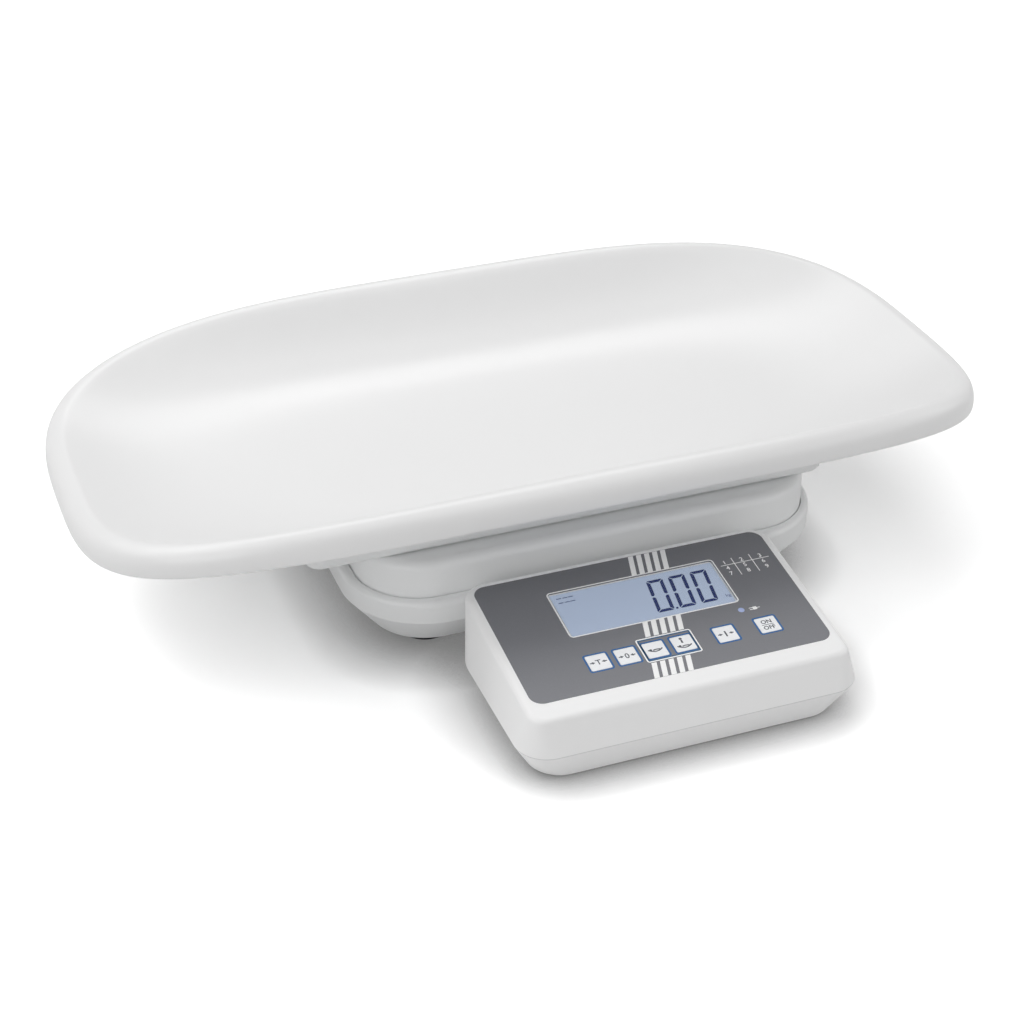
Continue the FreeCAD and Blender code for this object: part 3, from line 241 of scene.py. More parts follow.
METALS = {   # slot: name, colour, roughness, turning lines in mm       what it gives the eye
    "socket_metal": ("nickel_plate", "#C9C8C4", 0.25, 0.4),           # bright and a little warm
    "screw_steel": ("zinc_plated_steel", "#B9BABC", 0.34, 0.3),       # cool grey, soft glint
    "foot_steel": ("zinc_plated_stud", "#BDBEC0", 0.32, 0.3),         # the same, a shade brighter
    "cell_aluminium": ("anodised_aluminium", "#C4C6C9", 0.38, 0.5),   # pale, even sheen
    "insert_brass": ("turned_brass", "#C9A75E", 0.3, 0.3),            # yellow with sharp lines
    "contact_spring": ("spring_steel", "#B4B4AF", 0.3, 0.3),          # darker, oily glint
}
finishes.update({slot: metal(*values) for slot, values in METALS.items()})
print("metals:", len(METALS))

# %% Rubbers, paints, films and boards
# Dust and the mesh of a printing screen leave specks of about a tenth of a millimetre. They are
# drawn at 0.5 mm or more, for otherwise they wouldn't show.
DUST_FROM, DUST_TO = 0.5, 0.75                 # noise values between which the dust comes in


def speckled(name, colour, dust, roughness, speck_mm, bump_mm, ior=1.5):
    """Dull solid colour with a second colour dusted over it where a fine noise peaks."""
    material, tree, output = new_material(name)
    place = add(tree, "ShaderNodeTexCoord").outputs["Object"]
    specks = add(tree, "ShaderNodeTexNoise",
                 {"Vector": place, "Scale": 1 / (speck_mm * MM), "Detail": 5.0})
    amount = add(tree, "ShaderNodeMapRange",
                 {"Value": specks.outputs["Fac"], "From Min": DUST_FROM, "From Max": DUST_TO})
    colours = add(tree, "ShaderNodeMix",
                  {"Factor": amount.outputs[0], "A": linear(colour), "B": linear(dust)},
                  data_type="RGBA")
    bump = add(tree, "ShaderNodeBump",
               {"Height": specks.outputs["Fac"], "Distance": bump_mm * MM})
    shader = add(tree, "ShaderNodeBsdfPrincipled",
                 {"Base Color": colours.outputs["Result"], "Roughness": roughness, "IOR": ior,
                  "Normal": bump.outputs["Normal"]})
    tree.links.new(shader.outputs[0], output.inputs["Surface"])
    return material


SPECKLED = {   # slot: name, colour, dust, roughness, speck and bump in mm, IOR if not 1.5
    # screen-printed polyester: flat and dull, so that figures read without glare
    "overlay_film": ("screen_printed_film", "#76777C", "#7A7B80", 0.45, 0.8, 0.003),
    "key_film": ("printed_key_film", "#FCFDFF", "#F8F9FB", 0.35, 0.8, 0.003),
    # moulded rubber: black with a grey bloom
    "rubber_black": ("moulded_rubber", "#141414", "#1E1E1D", 0.75, 1.2, 0.02, 1.52),
    # lacquer over fibreglass: green with a soft shine
    "circuit_board": ("solder_mask", "#1C5A34", "#24663D", 0.35, 1.0, 0.01),
    # moulded epoxy and nylon: near black and matt, from the filler in them
    "chip_epoxy": ("moulded_epoxy", "#1B1B1C", "#262627", 0.6, 0.5, 0.004),
    "switch_plastic": ("glass_filled_nylon", "#1A1A1A", "#222222", 0.5, 0.5, 0.004),
    "socket_plastic": ("socket_nylon", "#161616", "#1F1F1F", 0.45, 0.5, 0.004),
    # moulded acrylic with a frosted back: milky, bluish where the lamp is behind it
    "backlight": ("light_guide_acrylic", "#E6EBF2", "#DDE3EC", 0.3, 2.0, 0.002, 1.49),
    "lamp_guide": ("light_guide_lens", "#7F86D8", "#8C93E0", 0.25, 2.0, 0.002, 1.49),
    # shrunk film: dark blue and tight
    "battery_sleeve": ("shrink_sleeve", "#2B2F38", "#343944", 0.35, 3.0, 0.004),
    # powder coat on steel: grey with a rough skin
    "frame_steel": ("powder_coated_steel", "#3A3C3E", "#434547", 0.55, 0.9, 0.03),
}
finishes.update({slot: speckled(*values) for slot, values in SPECKLED.items()})
print("rubbers, paints, films and boards:", len(SPECKLED))

# %% [markdown]
# ## The display's glass
# The window is a flat sheet of clear acrylic, so what it adds is a faint reflection. Mostly clear
# alpha with a sharp gloss does that without the dark shadow that real refraction would cast on
# the cell. The cell behind it is a pale blue-grey reflector with light behind. It gets a low IOR,
# because only the window in front of it should mirror the lamps.

# %% Window and cell
CELL_PATCH, CELL_GLOW = 70, 0.36               # patches in mm, strength of the light behind


def clear_sheet(name):
    """Nearly invisible sheet: alpha of a few percent, with the gloss of acrylic."""
    material, tree, output = new_material(name)
    shader = add(tree, "ShaderNodeBsdfPrincipled",
                 {"Base Color": linear("#8A93A8"), "Roughness": 0.06, "IOR": 1.49, "Alpha": 0.06})
    tree.links.new(shader.outputs[0], output.inputs["Surface"])
    return material


def display_cell(name):
    """Pale blue reflector with an even glow: noise in wide patches blends two close blues."""
    material, tree, output = new_material(name)
    place = add(tree, "ShaderNodeTexCoord").outputs["Object"]
    cloud = add(tree, "ShaderNodeTexNoise",
                {"Vector": place, "Scale": 1 / (CELL_PATCH * MM), "Detail": 1.0})
    colours = add(tree, "ShaderNodeMix",
                  {"Factor": cloud.outputs["Fac"], "A": linear("#A6B4CA"),
                   "B": linear("#B2BED1")}, data_type="RGBA")
    shader = add(tree, "ShaderNodeBsdfPrincipled",
                 {"Base Color": colours.outputs["Result"], "Roughness": 0.4, "IOR": 1.25,
                  "Emission Color": linear("#A9B7CD"), "Emission Strength": CELL_GLOW})
    tree.links.new(shader.outputs[0], output.inputs["Surface"])
    return material


finishes["window_clear"] = clear_sheet("clear_acrylic")
finishes["lcd_cell"] = display_cell("liquid_crystal_cell")
print("finishes:", len(finishes))

# %% Dress the CAD nodes
slot_of = {part["node"]: part["material_slot"] for part in frame["record"]["subparts"]}
for name, node in frame["nodes"].items():
    for place in node.material_slots:
        place.material = finishes[slot_of[name]]
print("dressed nodes:", len(slot_of))

# %% [markdown]
# ## From numbers to pieces
# Every new piece here is worked out as points and faces first, and becomes a mesh in one call.
# Flat pieces start as an outline in a plane, which a sheet or a band turns into a closed thin
# solid. Flat curves with a thickness would look the same, but as numbers the pieces fit each other
# to a hundredth of a millimetre.

# %% Sheets and bands
INK = 0.03                                     # thickness of printed ink in mm


def slab(outline, low):
    """A sheet of ink with that outline, listed anticlockwise in plan: its foot, its face and a
    wall of quads."""
    outline = np.asarray(outline, float)
    count = len(outline)
    turn = np.arange(count)
    after = np.roll(turn, -1)
    points = np.vstack([np.column_stack([outline, np.full(count, w)]) for w in (low, low + INK)])
    walls = np.column_stack([turn, after, after + count, turn + count])
    return points, [tuple(turn[::-1]), tuple(turn + count)] + [tuple(w) for w in walls]


def ring(outer, inner, low, high=None):
    """A band between two outlines of equal count: the rectangle of its section is carried
    round them."""
    high = low + INK if high is None else high
    count = len(outer)
    turn = np.arange(count)
    after = np.roll(turn, -1)
    corners = [(outer, low), (outer, high), (inner, high), (inner, low)]
    points = np.vstack([np.column_stack([line, np.full(count, w)]) for line, w in corners])
    strips = [np.column_stack([turn + a * count, after + a * count,
                               after + b * count, turn + b * count])
              for a, b in ((0, 1), (1, 2), (2, 3), (3, 0))]
    return points, [tuple(f) for f in np.vstack(strips)]


print("ink:", INK, "mm thick")

# %% Outlines
def rounded(centre, width, height, radius, steps=6):
    """Outline of a rounded rectangle, anticlockwise: four quarter circles joined by straight
    sides."""
    quarter = np.linspace(0, math.pi / 2, steps)
    turns = np.concatenate([quarter + k * math.pi / 2 for k in range(4)])
    reach = np.array([width / 2 - radius, height / 2 - radius])
    signs = np.repeat([[1, 1], [-1, 1], [-1, -1], [1, -1]], steps, axis=0)
    around = np.column_stack([np.cos(turns), np.sin(turns)])
    return np.asarray(centre) + signs * reach + radius * around


def stroke(points, width):
    """Outline of a pen line: the path shifted half a width to its right, then back along its
    left."""
    points = np.asarray(points, float)
    ahead = np.gradient(points, axis=0)
    ahead /= np.linalg.norm(ahead, axis=1)[:, None]
    side = np.column_stack([ahead[:, 1], -ahead[:, 0]]) * width / 2
    return np.vstack([points + side, (points - side)[::-1]])


def straight(start, end, width):
    """Outline of a straight pen line, through one more point half way."""
    return stroke([start, np.add(start, end) / 2, end], width)


def circle(centre, radius, steps=24):
    """Outline of a circle: radius times cosine and sine of an angle that goes once round."""
    turn = np.linspace(0, 2 * math.pi, steps, endpoint=False)
    return np.asarray(centre) + radius * np.column_stack([np.cos(turn), np.sin(turn)])


print("points of a rounded outline:", len(rounded((0, 0), 2, 2, 0.5)))

# %% Joining parts into a piece
def piece(name, parts, material, body, place):
    """Joins (points, faces) parts into one object at the origin, placed by its vertices."""
    points, faces, start = [], [], 0
    for part_points, part_faces in parts:
        points.append(part_points)
        faces += [tuple(int(k) + start for k in face) for face in part_faces]
        start += len(part_points)
    mesh = bpy.data.meshes.new(name)
    mesh.from_pydata(place(np.vstack(points)), [], faces)
    mesh.update()
    mesh.materials.append(material)
    made = bpy.data.objects.new(name, mesh)
    bpy.context.collection.objects.link(made)
    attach(made, body)
    print(name, "faces:", len(faces))
    return made


def smooth_shading(made, sharp_degrees):
    """Rounds the shading over the faces, and keeps edges sharp where faces meet at more than an
    angle."""
    made.data.shade_smooth()
    made.data.set_sharp_from_angle(angle=math.radians(sharp_degrees))


# %% [markdown]
# ## The tray's skin
# The tray is one injection moulding of even wall: a flat middle, walls that sweep up higher along
# the sides than at the ends, and a rim rolled over into a lip. A box pushed about with a
# subdivision modifier would give a soft shape but not these curves. So the skin is computed:
# sections stand round the rim at even steps, each section is a row of control points, and a cubic
# B-spline surface runs through the whole net. One quarter is enough, because the tray is the same
# left and right, front and back. The rings at the flat middle and the screw bosses underneath
# complete it.

# %% Tray measures in millimetres
TRAY_MIDDLE = np.array([0.0, 51.0, 0.0])
TRAY_LENGTH, TRAY_WIDTH, RIM_POWER = 600.0, 313.0, 3.5
FLAT_LENGTH, FLAT_WIDTH, FLAT_POWER = 380.0, 146.0, 2.6
TRAY_WALL, TRAY_FLOOR = 3.0, 83.0              # floor's height above the table
END_CREST, LONG_RISE, FLATNESS = 107.0, 24.5, 3.8
END_CURVE, LONG_CURVE = 2.0, 3.0               # power of the wall's sweep at ends and sides
ROLL, LIP = 11.0, 18.5                         # radius of the rim's roll, height of the lip
BOSS_X, BOSS_Y, BRACKET_Y = 140.0, 55.0, 47.5  # steps between bosses, middle of the bracket
BOSS_RADIUS, BOSS_BORE, BOSS_FOOT = 4.5, 1.55, 74.5


def superellipse(half_x, half_y, power, w):
    """First quadrant of |x / a| ** n + |y / b| ** n = 1 for w from 0 to 1: cosine and sine to the
    power 2 / n of a turn, whose share of a right angle is w ** (n / 2) over the sum of itself and
    (1 - w) ** (n / 2)."""
    even, rest = w ** (power / 2), (1 - w) ** (power / 2)
    turn = math.pi / 2 * even / (even + rest)
    return np.column_stack([half_x * np.maximum(np.cos(turn), 0) ** (2 / power),
                            half_y * np.sin(turn) ** (2 / power)])


print("tray:", TRAY_LENGTH, "x", TRAY_WIDTH, "mm, crest", END_CREST, "to", END_CREST + LONG_RISE)

# %% Control net of one quarter
def tray_net(stations=16):
    """Control points of the sections: distance outwards and height, from the floor over wall and
    roll to the lip, and back underneath."""
    w = np.linspace(0, 1, stations + 1)
    rim = superellipse(TRAY_LENGTH / 2, TRAY_WIDTH / 2, RIM_POWER, w)
    foot = superellipse(FLAT_LENGTH / 2, FLAT_WIDTH / 2, FLAT_POWER, w)
    reach = np.linalg.norm(rim - foot, axis=1)[:, None]
    side = 1 - (2 * rim[:, :1] / TRAY_LENGTH) ** FLATNESS
    crest = END_CREST + LONG_RISE * side
    power = END_CURVE + (LONG_CURVE - END_CURVE) * side
    lean = np.arctan(power * (crest - TRAY_FLOOR) / reach)
    run = reach - ROLL * (1 + np.sin(lean))
    climb = crest - ROLL * (1 - np.cos(lean)) - TRAY_FLOOR

    def wall(u, inward):
        """Height climb * u ** power over the run, moved inward at right angles to its slope."""
        slope = np.arctan(power * climb / run * u ** (power - 1))
        height = TRAY_FLOOR + climb * u ** power
        return run * u + inward * np.sin(slope), height - inward * np.cos(slope)

    def roll(turn, inward):
        """Circle of the rim: sine outwards and cosine upwards of the turn from the crest."""
        radius = ROLL - inward
        return reach - ROLL + radius * np.sin(turn), crest - ROLL + radius * np.cos(turn)

    def edge(turn):
        """Half circle under the lip, as wide as the wall is thick."""
        half = TRAY_WALL / 2
        return reach - half + half * np.cos(turn), crest - LIP + half - half * np.sin(turn)

    steps = np.array([[0.0, 0.2, 0.4, 0.6, 0.8, 1.0]])
    rows = [wall(steps, 0.0),
            roll(lean * np.array([[-0.5, 0.0]]), 0.0),
            roll(math.pi / 6 * np.array([[1, 2, 3]]), 0.0),
            edge(math.pi / 4 * np.arange(5)[None]),
            roll(math.pi / 6 * np.array([[3, 2, 1, 0]]), TRAY_WALL),
            roll(-lean / 2, TRAY_WALL),
            wall(steps[:, ::-1], TRAY_WALL)]
    across = np.hstack([row[0] for row in rows])[:, :, None]
    height = np.hstack([np.broadcast_to(row[1], row[0].shape) for row in rows])[:, :, None]
    outwards = ((rim - foot) / reach)[:, None, :]
    return np.concatenate([foot[:, None, :] + outwards * across, height], axis=2)


print("control points of a quarter:", tray_net().shape[:2])

# %% Cubic surface
def cubic_weights(count, samples):
    """Cox and de Boor's rule: each degree blends neighbours of the degree below by distance to
    knots."""
    knots = np.concatenate([[0] * 3, np.arange(count - 2), [count - 3] * 3]).astype(float)
    t = np.linspace(0, count - 3 - 1e-9, samples)[:, None]
    weights = ((knots[:-1] <= t) & (t < knots[1:])).astype(float)
    for degree in (1, 2, 3):
        n = count + 3 - degree
        start, end = knots[:n], knots[degree + 1:][:n]
        first, second = knots[degree:degree + n] - start, end - knots[1:n + 1]
        rising = (t - start) / np.where(first > 0, first, 1) * (first > 0)
        falling = (end - t) / np.where(second > 0, second, 1) * (second > 0)
        weights = rising * weights[:, :n] + falling * weights[:, 1:n + 1]
    return weights


def tray_quarter(along=113, across=163):
    """Surface point = sum over the net of weight along the rim times weight across it times
    control point."""
    net = tray_net()
    return np.einsum("sp,pqc,tq->stc", cubic_weights(net.shape[0], along), net,
                     cubic_weights(net.shape[1], across))


print("weights at each point add up to", cubic_weights(8, 5).sum(axis=1).round(6))

# %% Whole tray
MIDDLE_RINGS = 12                              # steps from the flat middle's edge to its centre


def tray_surface():
    """Four mirrored quarters in a ring, run on over the flat middle to one point above and one
    below."""
    quarter = tray_quarter()
    turns = [quarter, quarter[::-1] * (-1, 1, 1), quarter * (-1, -1, 1), quarter[::-1] * (1, -1, 1)]
    skin = np.concatenate([turn[:-1] for turn in turns])
    shrink = np.ones((MIDDLE_RINGS - 1, 3))
    shrink[:, :2] = np.linspace(0, 1, MIDDLE_RINGS + 1)[1:-1, None]
    top = skin[:, :1] * shrink
    under = (skin[:, -1:] * shrink)[:, ::-1]
    grid = np.concatenate([top, skin, under], axis=1)
    rows, columns = grid.shape[:2]
    index = np.arange(rows * columns).reshape(rows, columns)
    after = np.roll(index, -1, axis=0)
    quads = np.stack([index[:, :-1], index[:, 1:], after[:, 1:], after[:, :-1]], -1)
    poles = np.array([[0, 0, TRAY_FLOOR], [0, 0, TRAY_FLOOR - TRAY_WALL]])
    count = rows * columns
    inner = np.column_stack([np.full(rows, count), index[:, 0], after[:, 0]])
    below = np.column_stack([np.full(rows, count + 1), after[:, -1], index[:, -1]])
    points = np.vstack([grid.reshape(-1, 3), poles]) + TRAY_MIDDLE
    return points, quads.reshape(-1, 4).tolist() + inner.tolist() + below.tolist()


def in_metres(points):
    """Millimetres of the frame to metres."""
    return np.asarray(points, float) * MM


boss_places = [(x, BRACKET_Y + y) for x in (-BOSS_X, 0.0, BOSS_X) for y in (-BOSS_Y, BOSS_Y)]
bosses = [ring(circle(at, BOSS_RADIUS), circle(at, BOSS_BORE), BOSS_FOOT,
               TRAY_FLOOR - TRAY_WALL / 2) for at in boss_places]
tray_skin = piece("tray_skin", [tray_surface()] + bosses, polished_abs, "weighing_tray",
                  in_metres)
smooth_shading(tray_skin, 40)
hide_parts("tray")

# %% [markdown]
# ## What is printed on the panel
# The real panel is a polyester film printed from behind: white lines and stripes, blue outlines
# round the keys, grey legends on the keys. A picture could carry all that, but its edges would
# blur close up and it would be lost on export. So each print is a sheet of ink a few hundredths
# of a millimetre thick, cut from outlines. They are drawn in the panel's own plan: u runs to the
# right, v up the slope, w out of the panel, in millimetres.

# %% Panel plan
PANEL_ORIGIN = np.array([15.0, -199.5, 44.0])
PANEL_TILT = math.radians(6.897)
KEY_TOP = 0.0                                  # w of the keys' tops
OVERLAY_TOP = -0.1                             # w of the film's face
CELL_TOP = -1.05                               # w of the display cell's face
panel_axes = np.array([[1, 0, 0], [0, math.cos(PANEL_TILT), math.sin(PANEL_TILT)],
                       [0, -math.sin(PANEL_TILT), math.cos(PANEL_TILT)]])


def on_panel(points):
    """Points (u, v, w) in millimetres to metres in the frame: origin plus each value along its
    axis."""
    return (PANEL_ORIGIN + np.asarray(points, float) @ panel_axes) * MM


print("100 mm up the slope:", on_panel([[0.0, 100.0, 0.0]]).round(4))

# %% Lettering
CAPITAL_SHARE = 0.69       # capitals of the built-in font are this share of its size


def lettering(text, centre, height, low, bold=0.0):
    """Plain sans letters as a thin solid: capitals are height mm tall, the word is centred in
    plan, and its outlines are moved out by bold mm."""
    curve = bpy.data.curves.new("lettering", "FONT")
    curve.body = text
    curve.size = height / CAPITAL_SHARE
    curve.offset = bold
    curve.resolution_u = 3
    curve.align_x = "CENTER"
    curve.align_y = "CENTER"
    curve.extrude = INK / 2
    holder = bpy.data.objects.new("lettering", curve)
    mesh = bpy.data.meshes.new_from_object(holder)
    flat = np.empty(len(mesh.vertices) * 3)
    mesh.vertices.foreach_get("co", flat)
    points = flat.reshape(-1, 3)
    middle = (points.min(0) + points.max(0)) / 2
    points = points - middle + np.array([centre[0], centre[1], low + INK / 2])
    faces = [tuple(f.vertices) for f in mesh.polygons]
    bpy.data.meshes.remove(mesh)
    bpy.data.objects.remove(holder)
    bpy.data.curves.remove(curve)
    return points, faces


print("font size for capitals of 4 mm:", round(4.0 / CAPITAL_SHARE, 2), "mm")

# %% [markdown]
# ## White lines of the panel
# The window has a fine white border. Behind it a band of plain slanted stripes of one width runs
# from the top of the film to its lower edge, broken by the window and by the frame round the two
# middle keys. Each piece of a stripe is a parallelogram, so one slope places them all. The ink is
# opaque and dull, with a faint speckle from the screen's mesh.

# %% Window border, stripes and frame
WINDOW = ((1.0, 81.2), 108.0, 40.0, 2.0)       # centre, width, height, corner radius
FRAME = ((-1.25, 37.0), 35.2, 20.4, 1.6)       # the same of the line round the two middle keys
BORDER = 0.85                                  # width of both lines
SLIP = 0.05                                    # space between two prints that meet
STRIPE_LEAN = 0.262                            # u per v
STRIPE_FIRST = -24.0                           # u of the first stripe's left side at v = 0
STRIPE_WIDTH, STRIPE_PITCH, STRIPES = 3.3, 5.35, 5
STRIPE_SPANS = ((13.6, 26.2), (47.8, 60.4), (102.0, 119.2))


def stripe(number, low_v, high_v):
    """A parallelogram: both ends level in v, both sides leaning by STRIPE_LEAN."""
    left = STRIPE_FIRST + number * STRIPE_PITCH
    right = left + STRIPE_WIDTH
    corners = [(left, low_v), (right, low_v), (right, high_v), (left, high_v)]
    return [(u + STRIPE_LEAN * v, v) for u, v in corners]


def grown(shape, by):
    """The same rounded rectangle, larger by that much on every side."""
    centre, width, height, radius = shape
    return rounded(centre, width + 2 * by, height + 2 * by, radius + by)


white_ink = speckled("white_screen_ink", "#FFFFFF", "#FBFBFB", 0.4, 0.6, 0.002)
white_parts = [ring(grown(WINDOW, BORDER), grown(WINDOW, SLIP), OVERLAY_TOP),
               ring(grown(FRAME, 0.0), grown(FRAME, -BORDER), OVERLAY_TOP)]
white_parts += [slab(stripe(n, *span), OVERLAY_TOP)
                for n in range(STRIPES) for span in STRIPE_SPANS]
print("white lines and stripes:", len(white_parts))

# %% Plug symbol and number grid
PLUG_CENTRE = (60.4, 52.3)
PLUG_BODY, PLUG_PRONG = (2.6, 2.6, 0.5), (2.4, 0.5, 0.2)   # width, height, corner radius
PLUG_SHIFT, PRONG_SHIFT = 1.2, 0.75            # body and prongs off the centre in u, prongs in v
LEAD_SPAN, LEAD_WIDTH = (2.4, 4.4), 0.5
GRID_ROWS = (96.5, 91.2, 85.9)                 # v of the numbers
GRID_COLUMNS = (62.0, 73.5, 86.0)              # u of the numbers
GRID_RULES, GRID_SPAN = (67.7, 79.7), (83.0, 99.4)
GRID_HEAD, GRID_HEAD_SPAN = 93.9, (58.5, 91.0)
RULE, DIGIT, DIGIT_BOLD = 0.5, 3.2, 0.06


def plug_symbol(centre):
    """A mains plug lying down: a body, two prongs to the left, and a lead to the right."""
    u, v = centre
    outlines = [rounded((u + PLUG_SHIFT, v), *PLUG_BODY),
                straight((u + LEAD_SPAN[0], v), (u + LEAD_SPAN[1], v), LEAD_WIDTH)]
    outlines += [rounded((u - PLUG_SHIFT, v + side), *PLUG_PRONG)
                 for side in (-PRONG_SHIFT, PRONG_SHIFT)]
    return [slab(outline, OVERLAY_TOP) for outline in outlines]


def number_grid():
    """Plain numbers in rows and columns with a rule between the columns and one under the
    heads."""
    rules = [straight((u, GRID_SPAN[0]), (u, GRID_SPAN[1]), RULE) for u in GRID_RULES]
    rules.append(straight((GRID_HEAD_SPAN[0], GRID_HEAD), (GRID_HEAD_SPAN[1], GRID_HEAD), RULE))
    places = [(u, v) for v in GRID_ROWS for u in GRID_COLUMNS]
    digits = [lettering(str(number), place, DIGIT, OVERLAY_TOP, DIGIT_BOLD)
              for number, place in enumerate(places, start=1)]
    return [slab(rule, OVERLAY_TOP) for rule in rules] + digits


white_parts += plug_symbol(PLUG_CENTRE) + number_grid()
piece("panel_white_print", white_parts, white_ink, "base", on_panel)

# %% [markdown]
# ## Blue outlines
# Every key has a blue outline printed on the film, just outside the edge of the cap. The two keys
# in the frame share one more band inside the white line, which looks darker because its ink lies
# over the grey. A line drawn on the cap itself would move with the key, so the outline is a band
# round the key's hole.

# %% Key outlines
KEYS = {"tare": -46.0, "zero": -28.1, "tray": -10.2, "baby": 7.7, "hold": 35.1, "power": 62.5}
KEY_ROW = 36.3                                 # v of the keys' middles; KEYS gives their u
KEY_HOLE, KEY_CORNER, KEY_SLIP = 13.2, 0.6, 0.02
OUTLINE, PAIR_BAND = 1.1, 0.9                  # widths of the blue bands
blue_ink = speckled("blue_screen_ink", "#155C9A", "#1A62A1", 0.4, 0.6, 0.002)
dark_blue_ink = speckled("dark_blue_screen_ink", "#2A5579", "#2E5A7F", 0.4, 0.6, 0.002)


def key_outline(u):
    """A square band from the edge of the key's hole outwards."""
    hole = ((u, KEY_ROW), KEY_HOLE, KEY_HOLE, KEY_CORNER)
    return ring(grown(hole, OUTLINE), grown(hole, KEY_SLIP), OVERLAY_TOP)


inside = -BORDER - SLIP
pair_band = ring(grown(FRAME, inside), grown(FRAME, inside - PAIR_BAND), OVERLAY_TOP)
piece("panel_blue_print", [key_outline(u) for u in KEYS.values()], blue_ink, "base",
      on_panel)
piece("panel_pair_print", [pair_band], dark_blue_ink, "base", on_panel)

# %% [markdown]
# ## Charge lamp
# The light guide of the lamp ends in a small domed lens of tinted acrylic, which looks milky blue
# while the lamp is off. A dome is a quarter circle turned about its own axis, flattened in height,
# so its points are radius times cosine and height times sine.

# %% Lamp lens
LAMP, LAMP_RADIUS, LAMP_DOME = (53.0, 53.0), 2.0, 0.5
lens_acrylic = speckled("lamp_lens", "#ACBBE6", "#B4C2EA", 0.2, 2.0, 0.002, ior=1.49)


def dome(centre, radius, height, rings=6, steps=28):
    """Rings at radius * cos(a) and height * sin(a) for a from 0 to nearly a right angle, then
    the tip."""
    rise = np.linspace(0, math.pi / 2, rings + 1)[:-1]
    turn = np.linspace(0, 2 * math.pi, steps, endpoint=False)
    u = centre[0] + radius * np.outer(np.cos(rise), np.cos(turn))
    v = centre[1] + radius * np.outer(np.cos(rise), np.sin(turn))
    w = OVERLAY_TOP + height * np.outer(np.sin(rise), np.ones(steps))
    tip = [[*centre, OVERLAY_TOP + height]]
    points = np.vstack([np.stack([u, v, w], -1).reshape(-1, 3), tip])
    index = np.arange(rings * steps).reshape(rings, steps)
    after = np.roll(index, -1, axis=1)
    sides = np.stack([index[:-1], after[:-1], after[1:], index[1:]], -1).reshape(-1, 4)
    cap = np.column_stack([index[-1], after[-1], np.full(steps, rings * steps)])
    return points, sides.tolist() + cap.tolist() + [index[0, ::-1].tolist()]


lens = piece("charge_lamp_lens", [dome(LAMP, LAMP_RADIUS, LAMP_DOME)], lens_acrylic, "base",
             on_panel)
smooth_shading(lens, 50)

# %% [markdown]
# ## Legends on the keys
# Each legend travels with its key, so it is a piece of its own that rides on that key's body. They
# are plain function marks: arrows that meet at a T for tare and at a nought for zero, a child in a
# tray, the same under a standing person, a bar between arrows for hold, and ON over OFF.

# %% Parts of the legends, in millimetres
ARROW_GAP, ARROW_WIDTH, ARROW_HEAD, ARROW_SPREAD = 2.0, 0.8, 1.9, 0.55
BOWL_HALF, BOWL_DEPTH, BOWL_WIDTH = 4.6, 2.0, 0.8
LYING_HEAD, LYING_HEAD_RADIUS = (-2.9, 1.7), 0.85
LYING_START, LYING_LENGTH, LYING_ARCH, LYING_WIDTH = (-1.6, 1.25), 4.6, 0.35, 0.9
STANDING_HEAD, STANDING_HEAD_RADIUS = (-0.3, 4.1), 0.95
STANDING_NECK, STANDING_FOOT, STANDING_WIDTH = (-0.3, 2.9), (-0.3, 0.4), 1.1


def arrow(tip, tail):
    """A short pen line that ends in a triangle."""
    tip, tail = np.array(tip, float), np.array(tail, float)
    ahead = (tip - tail) / np.linalg.norm(tip - tail)
    side = np.array([-ahead[1], ahead[0]]) * ARROW_HEAD * ARROW_SPREAD
    back = tip - ahead * ARROW_HEAD
    return [[tip, back + side, back - side], straight(tail, back, ARROW_WIDTH)]


def arrows_about(u, v, reach):
    """Two arrows that point at the middle from both sides."""
    return (arrow((u - ARROW_GAP, v), (u - reach, v))
            + arrow((u + ARROW_GAP, v), (u + reach, v)))


def child_in_tray(u, v):
    """A pen line along a parabola, and above it a round head and a body along half a wave."""
    run, along = np.linspace(-1, 1, 15), np.linspace(0, 1, 7)
    bowl = np.column_stack([u + BOWL_HALF * run, v + BOWL_DEPTH * run ** 2])
    body = np.column_stack([u + LYING_START[0] + LYING_LENGTH * along,
                            v + LYING_START[1] + LYING_ARCH * np.sin(along * math.pi)])
    return [stroke(bowl, BOWL_WIDTH), circle(np.add((u, v), LYING_HEAD), LYING_HEAD_RADIUS),
            stroke(body, LYING_WIDTH)]


def standing_person(u, v):
    """A round head over a short upright body."""
    return [circle(np.add((u, v), STANDING_HEAD), STANDING_HEAD_RADIUS),
            straight(np.add((u, v), STANDING_NECK), np.add((u, v), STANDING_FOOT),
                     STANDING_WIDTH)]


print("outlines of an arrow pair:", len(arrows_about(0.0, 0.0, 5.0)))

